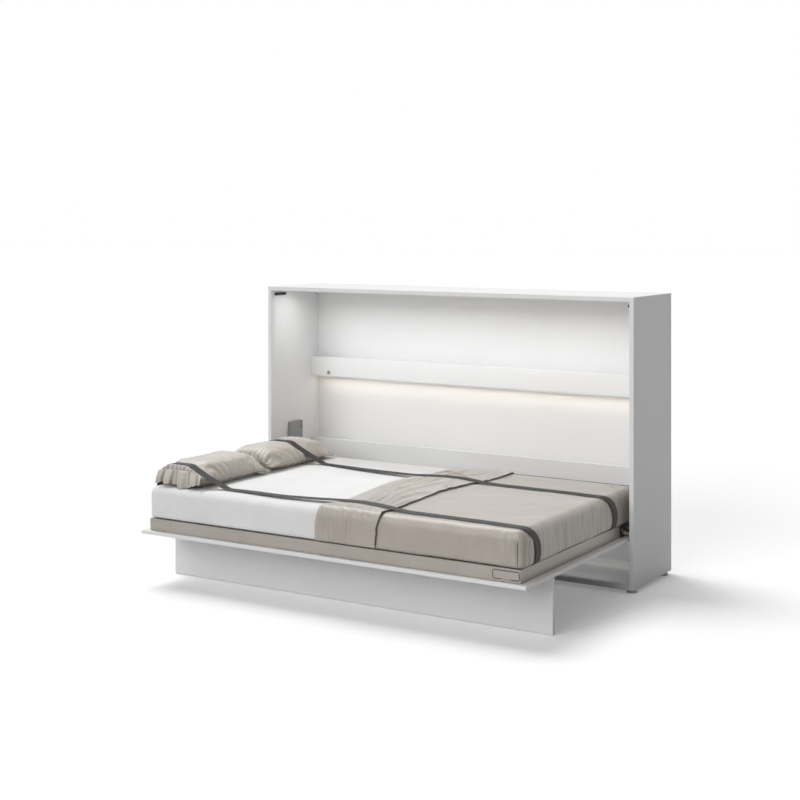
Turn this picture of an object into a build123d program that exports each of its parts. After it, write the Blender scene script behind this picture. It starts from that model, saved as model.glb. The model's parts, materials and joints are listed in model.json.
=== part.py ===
import os
from math import atan2, cos, degrees, hypot, radians, sin

from build123d import *

# A horizontal wall bed, open: a low cabinet against a wall, a bed that swings down out of it
# about two pivot pins, and a leg board that hangs under the bed's front panel.
# Millimetres. +X runs along the cabinet to the right, +Y towards the wall, +Z up.
# The origin lies on the floor at the middle of the whole open bed.

# Cabinet
cabinet_width = 2110
cabinet_height = 1380
cabinet_depth = 476
panel_thick = 22
bottom_thick = 24
board_thick = 16
board_edge = 1
foot_height = 18
foot_disc_radius = 24
foot_disc_thick = 6
foot_stem_radius = 21
foot_inset_x = 26
foot_inset_y = 42
back_inset = 14
rail_thick = 22
rail_height = 40
wall_hole_radius = 4
wall_hole_in = 133
wall_hole_count = 4
cam_radius = 7.5
cam_deep = 12
cam_proud = 0.6
cam_inset = 34
cam_edge = 60

# Shelves behind the bed, each a narrow board with a tall lip in front
shelf_pocket = 59
lip_height_upper = 105
lip_height_lower = 103.5
upper_shelf_z = 869
lower_shelf_z = 420
led_width = 17
led_tall = 8
led_wall = 1.5
led_lip_gap = 4
led_end_gap = 30
led_fit = 0.2
switch_radius = 11
switch_proud = 2
switch_rim = 2.5
switch_in = 120
switch_up = 20

# Catches at the top of the side panels
catch_proud = 20
catch_long = 80
catch_tall = 15
catch_front = 30
catch_below = 13
catch_nose = 6

# Front panel, pivot and bed frame
door_thick = 16
door_side_gap = 7
door_top_gap = 4
door_bottom_gap = 5
leg_height = 242
pivot_to_face = 33.5
frame_side_gap = 66
frame_setback = 23
frame_tail = 144.5
frame_rise = 2
rail_tall = 55.5
rail_deep = 25
steel_wall = 2
beam_wide = 30
beam_tall = 30
beam_x_share = 1 / 3
slat_count = 14
slat_wide = 60
slat_thick = 8
slat_sink = 0.3
slat_proud = 2.2
slat_end_margin = 60
holder_long = 30
holder_side = 4
holder_base = 7
holder_lip_drop = 2.5
holder_fit = 0.3
slat_end_fit = 1
corner_plate_long = 125
corner_plate_tall = 38
corner_plate_thick = 1.5
corner_plate_round = 8
corner_plate_in = 4
corner_hole_radius = 3
corner_hole_in = 12
scallop_radius = 5
scallop_pitch = 14
scallop_count = 3
spacer_radius = 12
screw_radius = 2.5
screw_head_radius = 5
screw_head_thick = 3
screw_bite = 12
screw_fit = 0.1
screw_count = 5
screw_end = 80

# Lifting mechanism, one on each side
mech_plate = 2.5
mech_margin = 8
mech_neck = 90
cover_depth = 24
cover_wall = 1.2
cover_front = 139
cover_back = 256
cover_low = 470
cover_high = 633
cover_slope = 14
slot_wide = 5
slot_long = 32
slot_foot = 12
slot_from_back = 10
slot_from_top = 8
anchor_y = 205
anchor_z = 600
anchor_stud_radius = 4
anchor_flange_radius = 9
lever_radius = 80
lever_angle = 80
spring_radius = 9
spring_wall = 2
spring_side_gap = 1.2
eye_radius = 9
eye_thick = 10
eye_neck = 14
tube_end = 205
gland_long = 10
piston_long = 10
piston_fit = 0.15
rod_radius = 4
rod_long = 250
running_fit = 0.05
rod_nut_radius = 7
rod_nut_long = 6
lever_gap = 0.3
hinge_plate_thick = 5
hinge_plate_front = 40
hinge_plate_back = 18
hinge_plate_low = 15
hinge_plate_high = 36
hinge_plate_round = 10
bush_radius = 11
bush_flange_radius = 14
bush_flange = 3
bush_long = 9
pin_radius = 8
pin_collar_radius = 15
pin_collar = 4
pin_into_frame = 15
plate_screw_radius = 6
plate_screw_proud = 2.5
plate_screw_front = 25
plate_screw_back = 36

# Leg board and its butt hinges
leg_from_front = 797
leg_thick = 16
leg_clear = 1
glide_tall = 2
glide_radius = 6
glide_count = 4
leg_hinge_count = 4
leg_hinge_wide = 60
leg_hinge_edge = 160
knuckle_wide = 20
knuckle_gap = 0.4
barrel_radius = 4.5
barrel_room = 0.7
leaf_thick = 2
leaf_room = 0.5
hinge_pin_radius = 2

# Bedding
mattress_over = 9
mattress_front_over = 2
mattress_tail_in = 6
mattress_thick = 152
mattress_corner = 44
mattress_top_round = 40
mattress_base_round = 12
duvet_thick = 6
flap_thick = 6
duvet_from_left = 1060
flap_long = 310
duvet_hem = 8
fold_radius = 8
fold_proud = 4
fold_tall = 66
fold_front_shares = (0.34, 0.44, 0.53, 0.61, 0.70, 0.79)
fold_top_shares = (
    ((0.10, 0.050), (0.86, 0.175)),
    ((0.14, 0.072), (0.90, 0.290)),
    ((0.12, 0.100), (0.78, 0.400)),
    ((0.40, 0.030), (0.95, 0.090)),
)
pillow_half = 148
pillow_crown = 118
pillow_seam = 26
pillow_foot_share = 0.74
pillow_lift = 0.3
pillow_lip = 5
pillow_front_start = 23
pillow_front_long = 548
pillow_rear_long = 566
pillow_between = 8
pillow_front_mid = 208
pillow_rear_mid = 206
pillow_shoulder_share = 0.64
pillow_shoulder_rise_share = 0.80
pillow_bulge_share = 0.90
pillow_bulge_rise_share = 0.50
pillow_shares = (
    (0.00, 1.00, 0.00),
    (0.05, 0.985, 0.34),
    (0.14, 0.965, 0.70),
    (0.30, 0.950, 0.93),
    (0.50, 0.945, 1.00),
    (0.70, 0.950, 0.93),
    (0.86, 0.965, 0.70),
    (0.95, 0.985, 0.34),
    (1.00, 1.00, 0.00),
)
pillow_blunt_shares = (
    (0.00, 0.975, 0.58),
    (0.05, 0.970, 0.76),
    (0.12, 0.960, 0.90),
) + pillow_shares[3:]

# Two straps that hold the bedding while the bed is folded away
strap_wide = 55
strap_thick = 2
strap_gap = 0.3
strap_front_in = 110
strap_rear_in = 902
strap_press = 6
strap_tail = 30
strap_step = 90
strap_ease = 400
strap_shoulder = 34
strap_crown_half = 88
strap_slope_start = 30
strap_slope_reach = 292
strap_bend = 60
strap_side_room = 5.5
buckle_tall = 44
buckle_wide = 64
buckle_thick = 4
buckle_above_base = 48
overrun = 40

# Planes and edges worked out from the sizes above
half_width = cabinet_width / 2
inner_x = half_width - panel_thick
top_under = cabinet_height - panel_thick
bottom_top = foot_height + bottom_thick
door_under = leg_height
door_top = door_under + door_thick
pivot_z = door_under + pivot_to_face
reach = top_under - door_top_gap - pivot_z - pivot_to_face
front_y = (reach - cabinet_depth) / 2
wall_y = front_y + cabinet_depth
back_rear_y = wall_y - back_inset
back_face_y = back_rear_y - board_thick
pivot_y = front_y + pivot_to_face
door_front_y = front_y - reach
door_rear_y = pivot_y + pivot_z - bottom_top - door_bottom_gap
door_half = inner_x - door_side_gap
frame_half = half_width - frame_side_gap
frame_front_y = door_front_y + frame_setback
frame_rear_y = pivot_y + frame_tail
frame_base = door_top + frame_rise
frame_top = frame_base + rail_tall
slat_top = frame_top + slat_proud
mattress_base = slat_top + slat_sink
mattress_top = mattress_base + mattress_thick
mattress_half = frame_half + mattress_over
mattress_front_y = frame_front_y - mattress_front_over
mattress_rear_y = frame_rear_y - mattress_tail_in
mattress_mid_y = (mattress_front_y + mattress_rear_y) / 2
mattress_width = mattress_rear_y - mattress_front_y
leg_face_y = front_y - leg_from_front
leg_axis_y = leg_face_y - leg_clear
leg_axis_z = door_under - leg_clear
leg_top = leg_axis_z - leg_clear
lip_face_y = back_face_y - shelf_pocket - board_thick
duvet_left_x = -half_width + duvet_from_left
flap_right_x = duvet_left_x + flap_long
spring_x = inner_x - mech_plate - spring_side_gap - spring_radius
lever_y = pivot_y + lever_radius * sin(radians(lever_angle))
lever_z = pivot_z + lever_radius * cos(radians(lever_angle))
anchor_at_y = front_y + anchor_y
sides = ((-1, "left"), (1, "right"))

os.makedirs("parts", exist_ok=True)


def finish(built, name):
    """Label a finished piece and write it as its own file."""
    built.part.label = name
    export_step(built.part, f"parts/{name}.step")


def block(x, y, z, mode=Mode.ADD):
    """A box between two corners, each given as a pair of ends along an axis."""
    with Locations(((x[0] + x[1]) / 2, (y[0] + y[1]) / 2, (z[0] + z[1]) / 2)):
        Box(abs(x[1] - x[0]), abs(y[1] - y[0]), abs(z[1] - z[0]), mode=mode)


def round_x(x, y, z, radius, mode=Mode.ADD):
    """A round bar along X from x[0] to x[1], centred on y and z."""
    with BuildSketch(Plane.YZ.offset(min(x))) as disc:
        with Locations((y, z)):
            Circle(radius)
    extrude(disc.sketch, amount=abs(x[1] - x[0]), mode=mode)


def round_y(x, y, z, radius, mode=Mode.ADD):
    """A round bar along Y from y[0] to y[1], centred on x and z."""
    with BuildSketch(Plane.XZ.offset(-max(y))) as disc:
        with Locations((x, z)):
            Circle(radius)
    extrude(disc.sketch, amount=abs(y[1] - y[0]), mode=mode)


def round_z(x, y, z, radius, mode=Mode.ADD):
    """A round bar along Z from z[0] to z[1], centred on x and y."""
    with BuildSketch(Plane.XY.offset(min(z))) as disc:
        with Locations((x, y)):
            Circle(radius)
    extrude(disc.sketch, amount=abs(z[1] - z[0]), mode=mode)


def spread(count, end):
    """Evenly spaced places from -end to end."""
    return [-end + 2 * end * index / (count - 1) for index in range(count)]


# Cabinet panels
for side, hand in sides:
    with BuildPart() as side_panel:
        block((side * inner_x, side * half_width), (front_y, wall_y), (foot_height, cabinet_height))
        chamfer(side_panel.edges(), board_edge)
    finish(side_panel, f"side_panel_{hand}")

cam_places = [(x, y) for x in (-inner_x + cam_inset, inner_x - cam_inset)
              for y in (front_y + cam_edge, back_face_y - cam_edge)]

with BuildPart() as top_panel:
    block((-inner_x, inner_x), (front_y, wall_y), (top_under, cabinet_height))
    chamfer(top_panel.edges(), board_edge)
    for x, y in cam_places:
        round_z(x, y, (top_under, top_under + cam_deep), cam_radius, Mode.SUBTRACT)
finish(top_panel, "top_panel")

with BuildPart() as bottom_panel:
    block((-inner_x, inner_x), (front_y, wall_y), (foot_height, bottom_top))
    chamfer(bottom_panel.edges(), board_edge)
    for x, y in cam_places:
        round_z(x, y, (bottom_top - cam_deep, bottom_top), cam_radius, Mode.SUBTRACT)
finish(bottom_panel, "bottom_panel")

with BuildPart() as cam_locks:
    for x, y in cam_places:
        round_z(x, y, (top_under - cam_proud, top_under + cam_deep), cam_radius)
        round_z(x, y, (bottom_top - cam_deep, bottom_top + cam_proud), cam_radius)
finish(cam_locks, "cam_locks")

wall_hole_end = inner_x - wall_hole_in
wall_hole_z = top_under - rail_height / 2

with BuildPart() as back_panel:
    block((-inner_x, inner_x), (back_face_y, back_rear_y), (bottom_top, top_under))
    for x in spread(wall_hole_count, wall_hole_end):
        round_y(x, (back_face_y, back_rear_y), wall_hole_z, wall_hole_radius, Mode.SUBTRACT)
finish(back_panel, "back_panel")

with BuildPart() as wall_rail:
    block((-inner_x, inner_x), (back_face_y - rail_thick, back_face_y), (top_under - rail_height, top_under))
    chamfer(wall_rail.edges().group_by(Axis.Z)[0].sort_by(Axis.Y)[0], board_edge)
    for x in spread(wall_hole_count, wall_hole_end):
        round_y(x, (back_face_y - rail_thick, back_face_y), wall_hole_z, wall_hole_radius, Mode.SUBTRACT)
finish(wall_rail, "wall_rail")

with BuildPart() as levelling_feet:
    for x in (-half_width + foot_inset_x, 0, half_width - foot_inset_x):
        for y in (front_y + foot_inset_y, wall_y - foot_inset_y):
            round_z(x, y, (0, foot_disc_thick), foot_disc_radius)
            round_z(x, y, (foot_disc_thick, foot_height), foot_stem_radius)
finish(levelling_feet, "levelling_feet")

# Shelves and their lips
for name, shelf_z, lip_height in (
    ("upper", upper_shelf_z, lip_height_upper),
    ("lower", lower_shelf_z, lip_height_lower),
):
    with BuildPart() as shelf:
        block((-inner_x, inner_x), (lip_face_y + board_thick, back_face_y), (shelf_z, shelf_z + board_thick))
    finish(shelf, f"{name}_shelf")
    with BuildPart() as lip:
        block((-inner_x, inner_x), (lip_face_y, lip_face_y + board_thick), (shelf_z, shelf_z + lip_height))
        chamfer(lip.edges().filter_by(Axis.X), board_edge)
    finish(lip, f"{name}_shelf_lip")

# Light strip under the upper shelf: a channel and the diffuser in its mouth
led_y = (lip_face_y + board_thick + led_lip_gap, lip_face_y + board_thick + led_lip_gap + led_width)
led_x = (-inner_x + led_end_gap, inner_x - led_end_gap)
led_low = upper_shelf_z - led_tall

with BuildPart() as led_profile:
    block(led_x, led_y, (led_low, upper_shelf_z))
    block(led_x, (led_y[0] + led_wall, led_y[1] - led_wall), (led_low, upper_shelf_z - led_wall), Mode.SUBTRACT)
finish(led_profile, "led_profile")

with BuildPart() as led_diffuser:
    block(
        led_x,
        (led_y[0] + led_wall + led_fit, led_y[1] - led_wall - led_fit),
        (led_low + led_fit, upper_shelf_z - led_wall),
    )
finish(led_diffuser, "led_diffuser")

switch_x = -half_width + panel_thick + switch_in
switch_z = upper_shelf_z + switch_up
with BuildPart() as led_switch:
    round_y(switch_x, (lip_face_y - switch_proud, lip_face_y), switch_z, switch_radius)
    fillet(led_switch.edges().group_by(Axis.Y)[0], switch_proud / 2)
    round_y(switch_x, (lip_face_y - switch_proud, lip_face_y - switch_proud / 2), switch_z,
            switch_radius - switch_rim, Mode.SUBTRACT)
finish(led_switch, "led_switch")

# Catches that hold the closed bed by its end rails
for side, hand in sides:
    with BuildPart() as catch:
        block(
            (side * (inner_x - catch_proud), side * inner_x),
            (front_y + catch_front, front_y + catch_front + catch_long),
            (top_under - catch_below - catch_tall, top_under - catch_below),
        )
        inner_edges = catch.edges().filter_by(Axis.Y).sort_by(Axis.X)
        nose_edges = inner_edges[-2:] if side < 0 else inner_edges[:2]
        chamfer(nose_edges, catch_nose)
    finish(catch, f"catch_{hand}")

# Mechanism on each side panel: base plate, cover, pivot pin and spring anchor
cover_back_y = front_y + cover_back
cover_front_y = front_y + cover_front
plate_top = cover_high - mech_margin
for side, hand in sides:
    plate_x = side * (inner_x - mech_plate)
    with BuildPart() as mechanism_plate:
        with BuildSketch(Plane.YZ.offset(min(plate_x, side * inner_x))):
            with BuildLine():
                Polyline(
                    (front_y + mech_margin, pivot_z - pivot_to_face),
                    (pivot_y + pivot_to_face, pivot_z - pivot_to_face),
                    (pivot_y + mech_neck, pivot_z + pivot_to_face),
                    (cover_back_y - mech_margin, cover_low),
                    (cover_back_y - mech_margin, plate_top),
                    (cover_front_y + cover_slope + mech_margin, plate_top),
                    (cover_front_y + mech_margin, cover_low),
                    (front_y + mech_margin, pivot_z + pivot_to_face),
                    close=True,
                )
            make_face()
        extrude(amount=mech_plate)
        fillet(mechanism_plate.edges().filter_by(Axis.X), mech_margin)
    finish(mechanism_plate, f"mechanism_plate_{hand}")

    with BuildPart() as spring_cover:
        for inset, depth_from, mode in (
            (0, cover_depth, Mode.ADD),
            (cover_wall, cover_depth - cover_wall, Mode.SUBTRACT),
        ):
            inner_low = cover_low if inset == 0 else cover_low - overrun
            lean = cover_slope * (inner_low - cover_low) / (cover_high - cover_low)
            with BuildSketch(Plane.YZ.offset(min(side * (inner_x - depth_from), side * inner_x))):
                with BuildLine():
                    Polyline(
                        (cover_front_y + inset + lean, inner_low),
                        (cover_back_y - inset, inner_low),
                        (cover_back_y - inset, cover_high - inset),
                        (cover_front_y + cover_slope + inset, cover_high - inset),
                        close=True,
                    )
                make_face()
            extrude(amount=depth_from, mode=mode)
        slot_y = cover_back_y - slot_from_back
        slot_z = cover_high - slot_from_top
        skin = (side * (inner_x - cover_depth), side * (inner_x - cover_depth + cover_wall))
        block(skin, (slot_y - slot_wide, slot_y), (slot_z - slot_long, slot_z), Mode.SUBTRACT)
        block(skin, (slot_y - slot_foot, slot_y), (slot_z - slot_long, slot_z - slot_long + slot_wide),
              Mode.SUBTRACT)
    finish(spring_cover, f"spring_cover_{hand}")

    pin_root = side * (inner_x - mech_plate)
    with BuildPart() as pivot_pin:
        round_x((pin_root, pin_root - side * pin_collar), pivot_y, pivot_z, pin_collar_radius)
        round_x((pin_root, side * (frame_half - pin_into_frame)), pivot_y, pivot_z, pin_radius)
        chamfer(pivot_pin.edges().sort_by(Axis.X)[0 if side > 0 else -1], board_edge)
    finish(pivot_pin, f"pivot_pin_{hand}")

with BuildPart() as anchor_studs:
    for side, hand in sides:
        stud_root = side * (inner_x - mech_plate)
        eye_face = side * (spring_x + eye_thick / 2)
        round_x((stud_root, eye_face), anchor_at_y, anchor_z, anchor_flange_radius)
        round_x((stud_root, side * (spring_x - eye_thick / 2)), anchor_at_y, anchor_z, anchor_stud_radius)
finish(anchor_studs, "anchor_studs")

# Gas springs: a tube that hangs from the anchor stud and a rod that slides in it
swing = atan2(lever_y - anchor_at_y, anchor_z - lever_z)
spring_length = hypot(lever_y - anchor_at_y, anchor_z - lever_z)


def along_spring(distance):
    """The point at a distance down the spring's axis from its anchor, as Y and Z."""
    return anchor_at_y + distance * sin(swing), anchor_z - distance * cos(swing)


def spring_bar(x, start, end, radius, mode=Mode.ADD):
    """A round bar along the spring's axis between two distances from the anchor."""
    y, z = along_spring(start)
    with BuildSketch(Plane((x, y, z), x_dir=(1, 0, 0), z_dir=(0, sin(swing), -cos(swing)))) as disc:
        Circle(radius)
    extrude(disc.sketch, amount=end - start, mode=mode)


for side, hand in sides:
    x = side * spring_x
    eye = (x - eye_thick / 2, x + eye_thick / 2)
    with BuildPart() as gas_spring_tube:
        spring_bar(x, eye_neck, tube_end, spring_radius)
        spring_bar(x, eye_neck + eye_neck, tube_end - gland_long, spring_radius - spring_wall, Mode.SUBTRACT)
        spring_bar(x, tube_end - gland_long, tube_end, rod_radius + running_fit, Mode.SUBTRACT)
        round_x(eye, anchor_at_y, anchor_z, eye_radius)
        spring_bar(x, 0, eye_neck + board_edge, eye_thick / 2 - board_edge)
        round_x(eye, anchor_at_y, anchor_z, anchor_stud_radius + running_fit, Mode.SUBTRACT)
    finish(gas_spring_tube, f"gas_spring_tube_{hand}")

    rod_start = spring_length - rod_long
    with BuildPart() as gas_spring_rod:
        spring_bar(x, rod_start, spring_length, rod_radius)
        spring_bar(x, rod_start, rod_start + piston_long, spring_radius - spring_wall - piston_fit)
        round_x(eye, lever_y, lever_z, eye_radius)
        plate_face = side * (frame_half + hinge_plate_thick + lever_gap)
        round_x((x, plate_face), lever_y, lever_z, rod_radius)
        round_x((plate_face + side * rod_nut_long, plate_face), lever_y, lever_z, rod_nut_radius)
    finish(gas_spring_rod, f"gas_spring_rod_{hand}")

# Bed frame of folded steel channels, their webs outward
front_web = (frame_front_y, frame_front_y + steel_wall)
rear_web = (frame_rear_y - steel_wall, frame_rear_y)
front_deep = (frame_front_y, frame_front_y + rail_deep)
rear_deep = (frame_rear_y - rail_deep, frame_rear_y)
low_flange = (frame_base, frame_base + steel_wall)
high_flange = (frame_top - steel_wall, frame_top)
rail_half = frame_half - steel_wall
screw_x = spread(screw_count, frame_half - screw_end)
screw_rows = (frame_front_y + rail_deep / 2, frame_rear_y - rail_deep / 2)

for name, web, deep, row in (
    ("front", front_web, front_deep, screw_rows[0]),
    ("rear", rear_web, rear_deep, screw_rows[1]),
):
    with BuildPart() as frame_rail:
        block((-rail_half, rail_half), web, (frame_base, frame_top))
        block((-rail_half, rail_half), deep, low_flange)
        block((-rail_half, rail_half), deep, high_flange)
        for place in screw_x:
            round_z(place, row, low_flange, screw_radius + screw_fit, Mode.SUBTRACT)
    finish(frame_rail, f"frame_rail_{name}")

for side, hand in sides:
    with BuildPart() as frame_end:
        block((side * rail_half, side * frame_half), (frame_front_y, frame_rear_y), (frame_base, frame_top))
        for flange in (low_flange, high_flange):
            block((side * (frame_half - rail_deep), side * frame_half), (front_deep[1], rear_deep[0]), flange)
        round_x((side * rail_half, side * frame_half), pivot_y, pivot_z, bush_radius + running_fit, Mode.SUBTRACT)
    finish(frame_end, f"frame_rail_{hand}")

with BuildPart() as frame_cross_beams:
    for side, hand in sides:
        x = side * frame_half * beam_x_share
        beam = (x - beam_wide / 2, x + beam_wide / 2)
        hollow = (beam[0] + steel_wall, beam[1] - steel_wall)
        beam_z = (low_flange[1], low_flange[1] + beam_tall)
        block(beam, (front_web[1], rear_web[0]), beam_z)
        block(hollow, (front_web[1], rear_web[0]), (beam_z[0] + steel_wall, beam_z[1] - steel_wall), Mode.SUBTRACT)
finish(frame_cross_beams, "frame_cross_beams")

# Slats in open plastic holders on the front and rear rails
slat_x = spread(slat_count, frame_half - rail_deep - slat_end_margin)
slat_z = (slat_top - slat_thick, slat_top)
with BuildPart() as slats:
    for x in slat_x:
        block(
            (x - slat_wide / 2, x + slat_wide / 2),
            (front_deep[1] + slat_end_fit, rear_deep[0] - slat_end_fit),
            slat_z,
        )
finish(slats, "slats")

for name, near, far in (
    ("front", front_deep[1], front_deep[1] + holder_long),
    ("rear", rear_deep[0], rear_deep[0] - holder_long),
):
    with BuildPart() as slat_holders:
        for x in slat_x:
            half = slat_wide / 2 + holder_fit + holder_side
            block((x - half, x + half), (near, far), (slat_z[0] - holder_base, slat_top - holder_lip_drop))
            mouth = slat_wide / 2 + holder_fit
            block((x - mouth, x + mouth), (near, far), (slat_z[0], slat_top), Mode.SUBTRACT)
    finish(slat_holders, f"slat_holders_{name}")

# Plates at the two front corners of the frame
corner_mid_z = (frame_base + frame_top) / 2
for side, hand in sides:
    outer = side * (frame_half - corner_plate_in)
    mid_x = outer - side * corner_plate_long / 2
    with BuildPart() as corner_plate:
        with BuildSketch(Plane.XZ.offset(-frame_front_y)):
            with Locations((mid_x, corner_mid_z)):
                RectangleRounded(corner_plate_long, corner_plate_tall, corner_plate_round)
            with Locations((outer - side * (corner_plate_long - corner_hole_in), corner_mid_z)):
                Circle(corner_hole_radius, mode=Mode.SUBTRACT)
            for place in range(scallop_count):
                scallop_x = mid_x + (place - (scallop_count - 1) / 2) * scallop_pitch
                with Locations((scallop_x, corner_mid_z - corner_plate_tall / 2)):
                    Circle(scallop_radius, mode=Mode.SUBTRACT)
        extrude(amount=corner_plate_thick)
    finish(corner_plate, f"corner_plate_{hand}")

# Hinge plates on the frame's ends, their bushes and screws
for side, hand in sides:
    plate_x = (side * frame_half, side * (frame_half + hinge_plate_thick))
    with BuildPart() as hinge_plate:
        block(
            plate_x,
            (pivot_y - hinge_plate_front, lever_y + hinge_plate_back),
            (pivot_z - hinge_plate_low, pivot_z + hinge_plate_high),
        )
        fillet(hinge_plate.edges().filter_by(Axis.X), hinge_plate_round)
        round_x(plate_x, pivot_y, pivot_z, bush_radius + running_fit, Mode.SUBTRACT)
    finish(hinge_plate, f"hinge_plate_{hand}")

    face = side * (frame_half + hinge_plate_thick)
    with BuildPart() as pivot_bush:
        round_x((face, face - side * bush_long), pivot_y, pivot_z, bush_radius)
        round_x((face, face + side * bush_flange), pivot_y, pivot_z, bush_flange_radius)
        round_x((face - side * bush_long, face + side * bush_flange), pivot_y, pivot_z,
                pin_radius + running_fit, Mode.SUBTRACT)
    finish(pivot_bush, f"pivot_bush_{hand}")

with BuildPart() as hinge_plate_screws:
    for side, hand in sides:
        face = side * (frame_half + hinge_plate_thick)
        for y in (pivot_y - plate_screw_front, pivot_y + plate_screw_back):
            round_x((face, face + side * plate_screw_proud), y, pivot_z + hinge_plate_high / 2, plate_screw_radius)
finish(hinge_plate_screws, "hinge_plate_screws")

# Front panel, which is the cabinet's door when the bed is closed
leg_hinge_x = spread(leg_hinge_count, door_half - leg_hinge_edge)
leaf_reach = leg_clear + leg_thick - leaf_room
with BuildPart() as front_panel:
    block((-door_half, door_half), (door_front_y, door_rear_y), (door_under, door_top))
    chamfer(front_panel.edges(), board_edge)
    for place in screw_x:
        for row in screw_rows:
            round_z(place, row, (door_top - screw_bite, door_top), screw_radius + screw_fit, Mode.SUBTRACT)
    for x in leg_hinge_x:
        room = (x - leg_hinge_wide / 2 - leaf_room, x + leg_hinge_wide / 2 + leaf_room)
        round_x(room, leg_axis_y, leg_axis_z, barrel_radius + barrel_room, Mode.SUBTRACT)
        block(room, (leg_axis_y, leg_axis_y + leaf_reach + leaf_room), (door_under, door_under + leaf_thick),
              Mode.SUBTRACT)
finish(front_panel, "front_panel")

with BuildPart() as panel_spacers:
    for place in screw_x:
        for row in screw_rows:
            round_z(place, row, (door_top, frame_base), spacer_radius)
            round_z(place, row, (door_top, frame_base), screw_radius + screw_fit, Mode.SUBTRACT)
finish(panel_spacers, "panel_spacers")

with BuildPart() as panel_screws:
    for place in screw_x:
        for row in screw_rows:
            round_z(place, row, (door_top - screw_bite, low_flange[1]), screw_radius)
            round_z(place, row, (low_flange[1], low_flange[1] + screw_head_thick), screw_head_radius)
finish(panel_screws, "panel_screws")

# Leg board and the butt hinges in the corner between it and the front panel
leg_y = (leg_face_y, leg_face_y + leg_thick)
with BuildPart() as leg_board:
    block((-door_half, door_half), leg_y, (glide_tall, leg_top))
    chamfer(leg_board.edges(), board_edge)
    for x in leg_hinge_x:
        room = (x - leg_hinge_wide / 2 - leaf_room, x + leg_hinge_wide / 2 + leaf_room)
        round_x(room, leg_axis_y, leg_axis_z, barrel_radius + barrel_room, Mode.SUBTRACT)
        block(room, (leg_axis_y, leg_axis_y + leaf_reach + leaf_room), (leg_top - leaf_thick, leg_top),
              Mode.SUBTRACT)
finish(leg_board, "leg_board")

with BuildPart() as leg_glides:
    for x in spread(glide_count, door_half - leg_hinge_edge):
        round_z(x, leg_face_y + leg_thick / 2, (0, glide_tall), glide_radius)
finish(leg_glides, "leg_glides")

knuckle_half = knuckle_wide / 2
for name, leaf_z in (
    ("upper", (door_under, door_under + leaf_thick)),
    ("lower", (leg_top - leaf_thick, leg_top)),
):
    with BuildPart() as hinge_leaves:
        for x in leg_hinge_x:
            middle = (x - knuckle_half, x + knuckle_half)
            wide = knuckle_half + knuckle_gap
            outer = ((x - leg_hinge_wide / 2, x - wide), (x + wide, x + leg_hinge_wide / 2))
            own = (middle,) if name == "upper" else outer
            other = outer if name == "upper" else (middle,)
            block((x - leg_hinge_wide / 2, x + leg_hinge_wide / 2), (leg_axis_y, leg_axis_y + leaf_reach), leaf_z)
            for knuckle in other:
                cleared = (knuckle[0] - knuckle_gap, knuckle[1] + knuckle_gap)
                round_x(cleared, leg_axis_y, leg_axis_z, barrel_radius + knuckle_gap, Mode.SUBTRACT)
            for knuckle in own:
                round_x(knuckle, leg_axis_y, leg_axis_z, barrel_radius)
            full = (x - leg_hinge_wide / 2, x + leg_hinge_wide / 2)
            round_x(full, leg_axis_y, leg_axis_z, hinge_pin_radius + running_fit, Mode.SUBTRACT)
    finish(hinge_leaves, f"leg_hinge_{name}_leaves")

with BuildPart() as leg_hinge_pins:
    for x in leg_hinge_x:
        round_x((x - leg_hinge_wide / 2, x + leg_hinge_wide / 2), leg_axis_y, leg_axis_z, hinge_pin_radius)
finish(leg_hinge_pins, "leg_hinge_pins")


def mattress_form(grow):
    """The mattress's rounded block, grown on every side but not below."""
    with BuildSketch(Plane.XY.offset(mattress_base)) as plan:
        with Locations((0, mattress_mid_y)):
            RectangleRounded(2 * (mattress_half + grow), mattress_width + 2 * grow, mattress_corner + grow)
    extrude(plan.sketch, amount=mattress_thick + grow)
    fillet(faces().sort_by(Axis.Z)[-1].edges(), mattress_top_round + grow)
    fillet(faces().sort_by(Axis.Z)[0].edges(), mattress_base_round + grow)


def strap_route(crown):
    """The strap's middle line as X and Z points, with the radius at each corner."""
    half = strap_thick / 2 + strap_gap
    left = -mattress_half - half
    right = mattress_half + duvet_thick + half
    under = mattress_base - half
    pillow_x = -half_width + pillow_front_mid
    sheet_level = mattress_top + half
    duvet_level = sheet_level + duvet_thick
    flap_level = duvet_level + flap_thick
    points = [
        (left + mattress_base_round + strap_tail, under),
        (left, under),
        (left, mattress_top + strap_shoulder),
        (pillow_x - strap_crown_half, crown),
        (pillow_x + strap_slope_start, crown),
        (pillow_x + strap_slope_reach, sheet_level),
        (duvet_left_x, flap_level),
        (flap_right_x, flap_level),
        (flap_right_x + strap_step, duvet_level),
        (right, duvet_level),
        (right, under),
        (right - mattress_base_round - strap_tail, under),
    ]
    radii = [
        mattress_base_round + half,
        strap_bend / 2,
        strap_bend,
        strap_bend,
        strap_bend,
        strap_ease,
        strap_ease,
        strap_ease,
        mattress_top_round + duvet_thick + half,
        mattress_base_round + duvet_thick + half,
    ]
    return points, radii


def above_strap(y_mid, crown):
    """Take away all that lies above a strap's underside, within its width."""
    points, radii = strap_route(crown)
    lowered = [(x, z - strap_thick - strap_gap) for x, z in points[2:-2]]
    sky = crown + strap_bend
    reach_y = strap_wide / 2 + strap_side_room
    with BuildSketch(Plane.XZ.offset(-(y_mid + reach_y))) as over:
        with BuildLine():
            low = FilletPolyline(*lowered, radius=radii[2:-2])
            Line(low @ 1, (lowered[-1][0], sky))
            Line((lowered[-1][0], sky), (lowered[0][0], sky))
            Line((lowered[0][0], sky), low @ 0)
        make_face()
    extrude(over.sketch, amount=2 * reach_y, mode=Mode.SUBTRACT)


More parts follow.
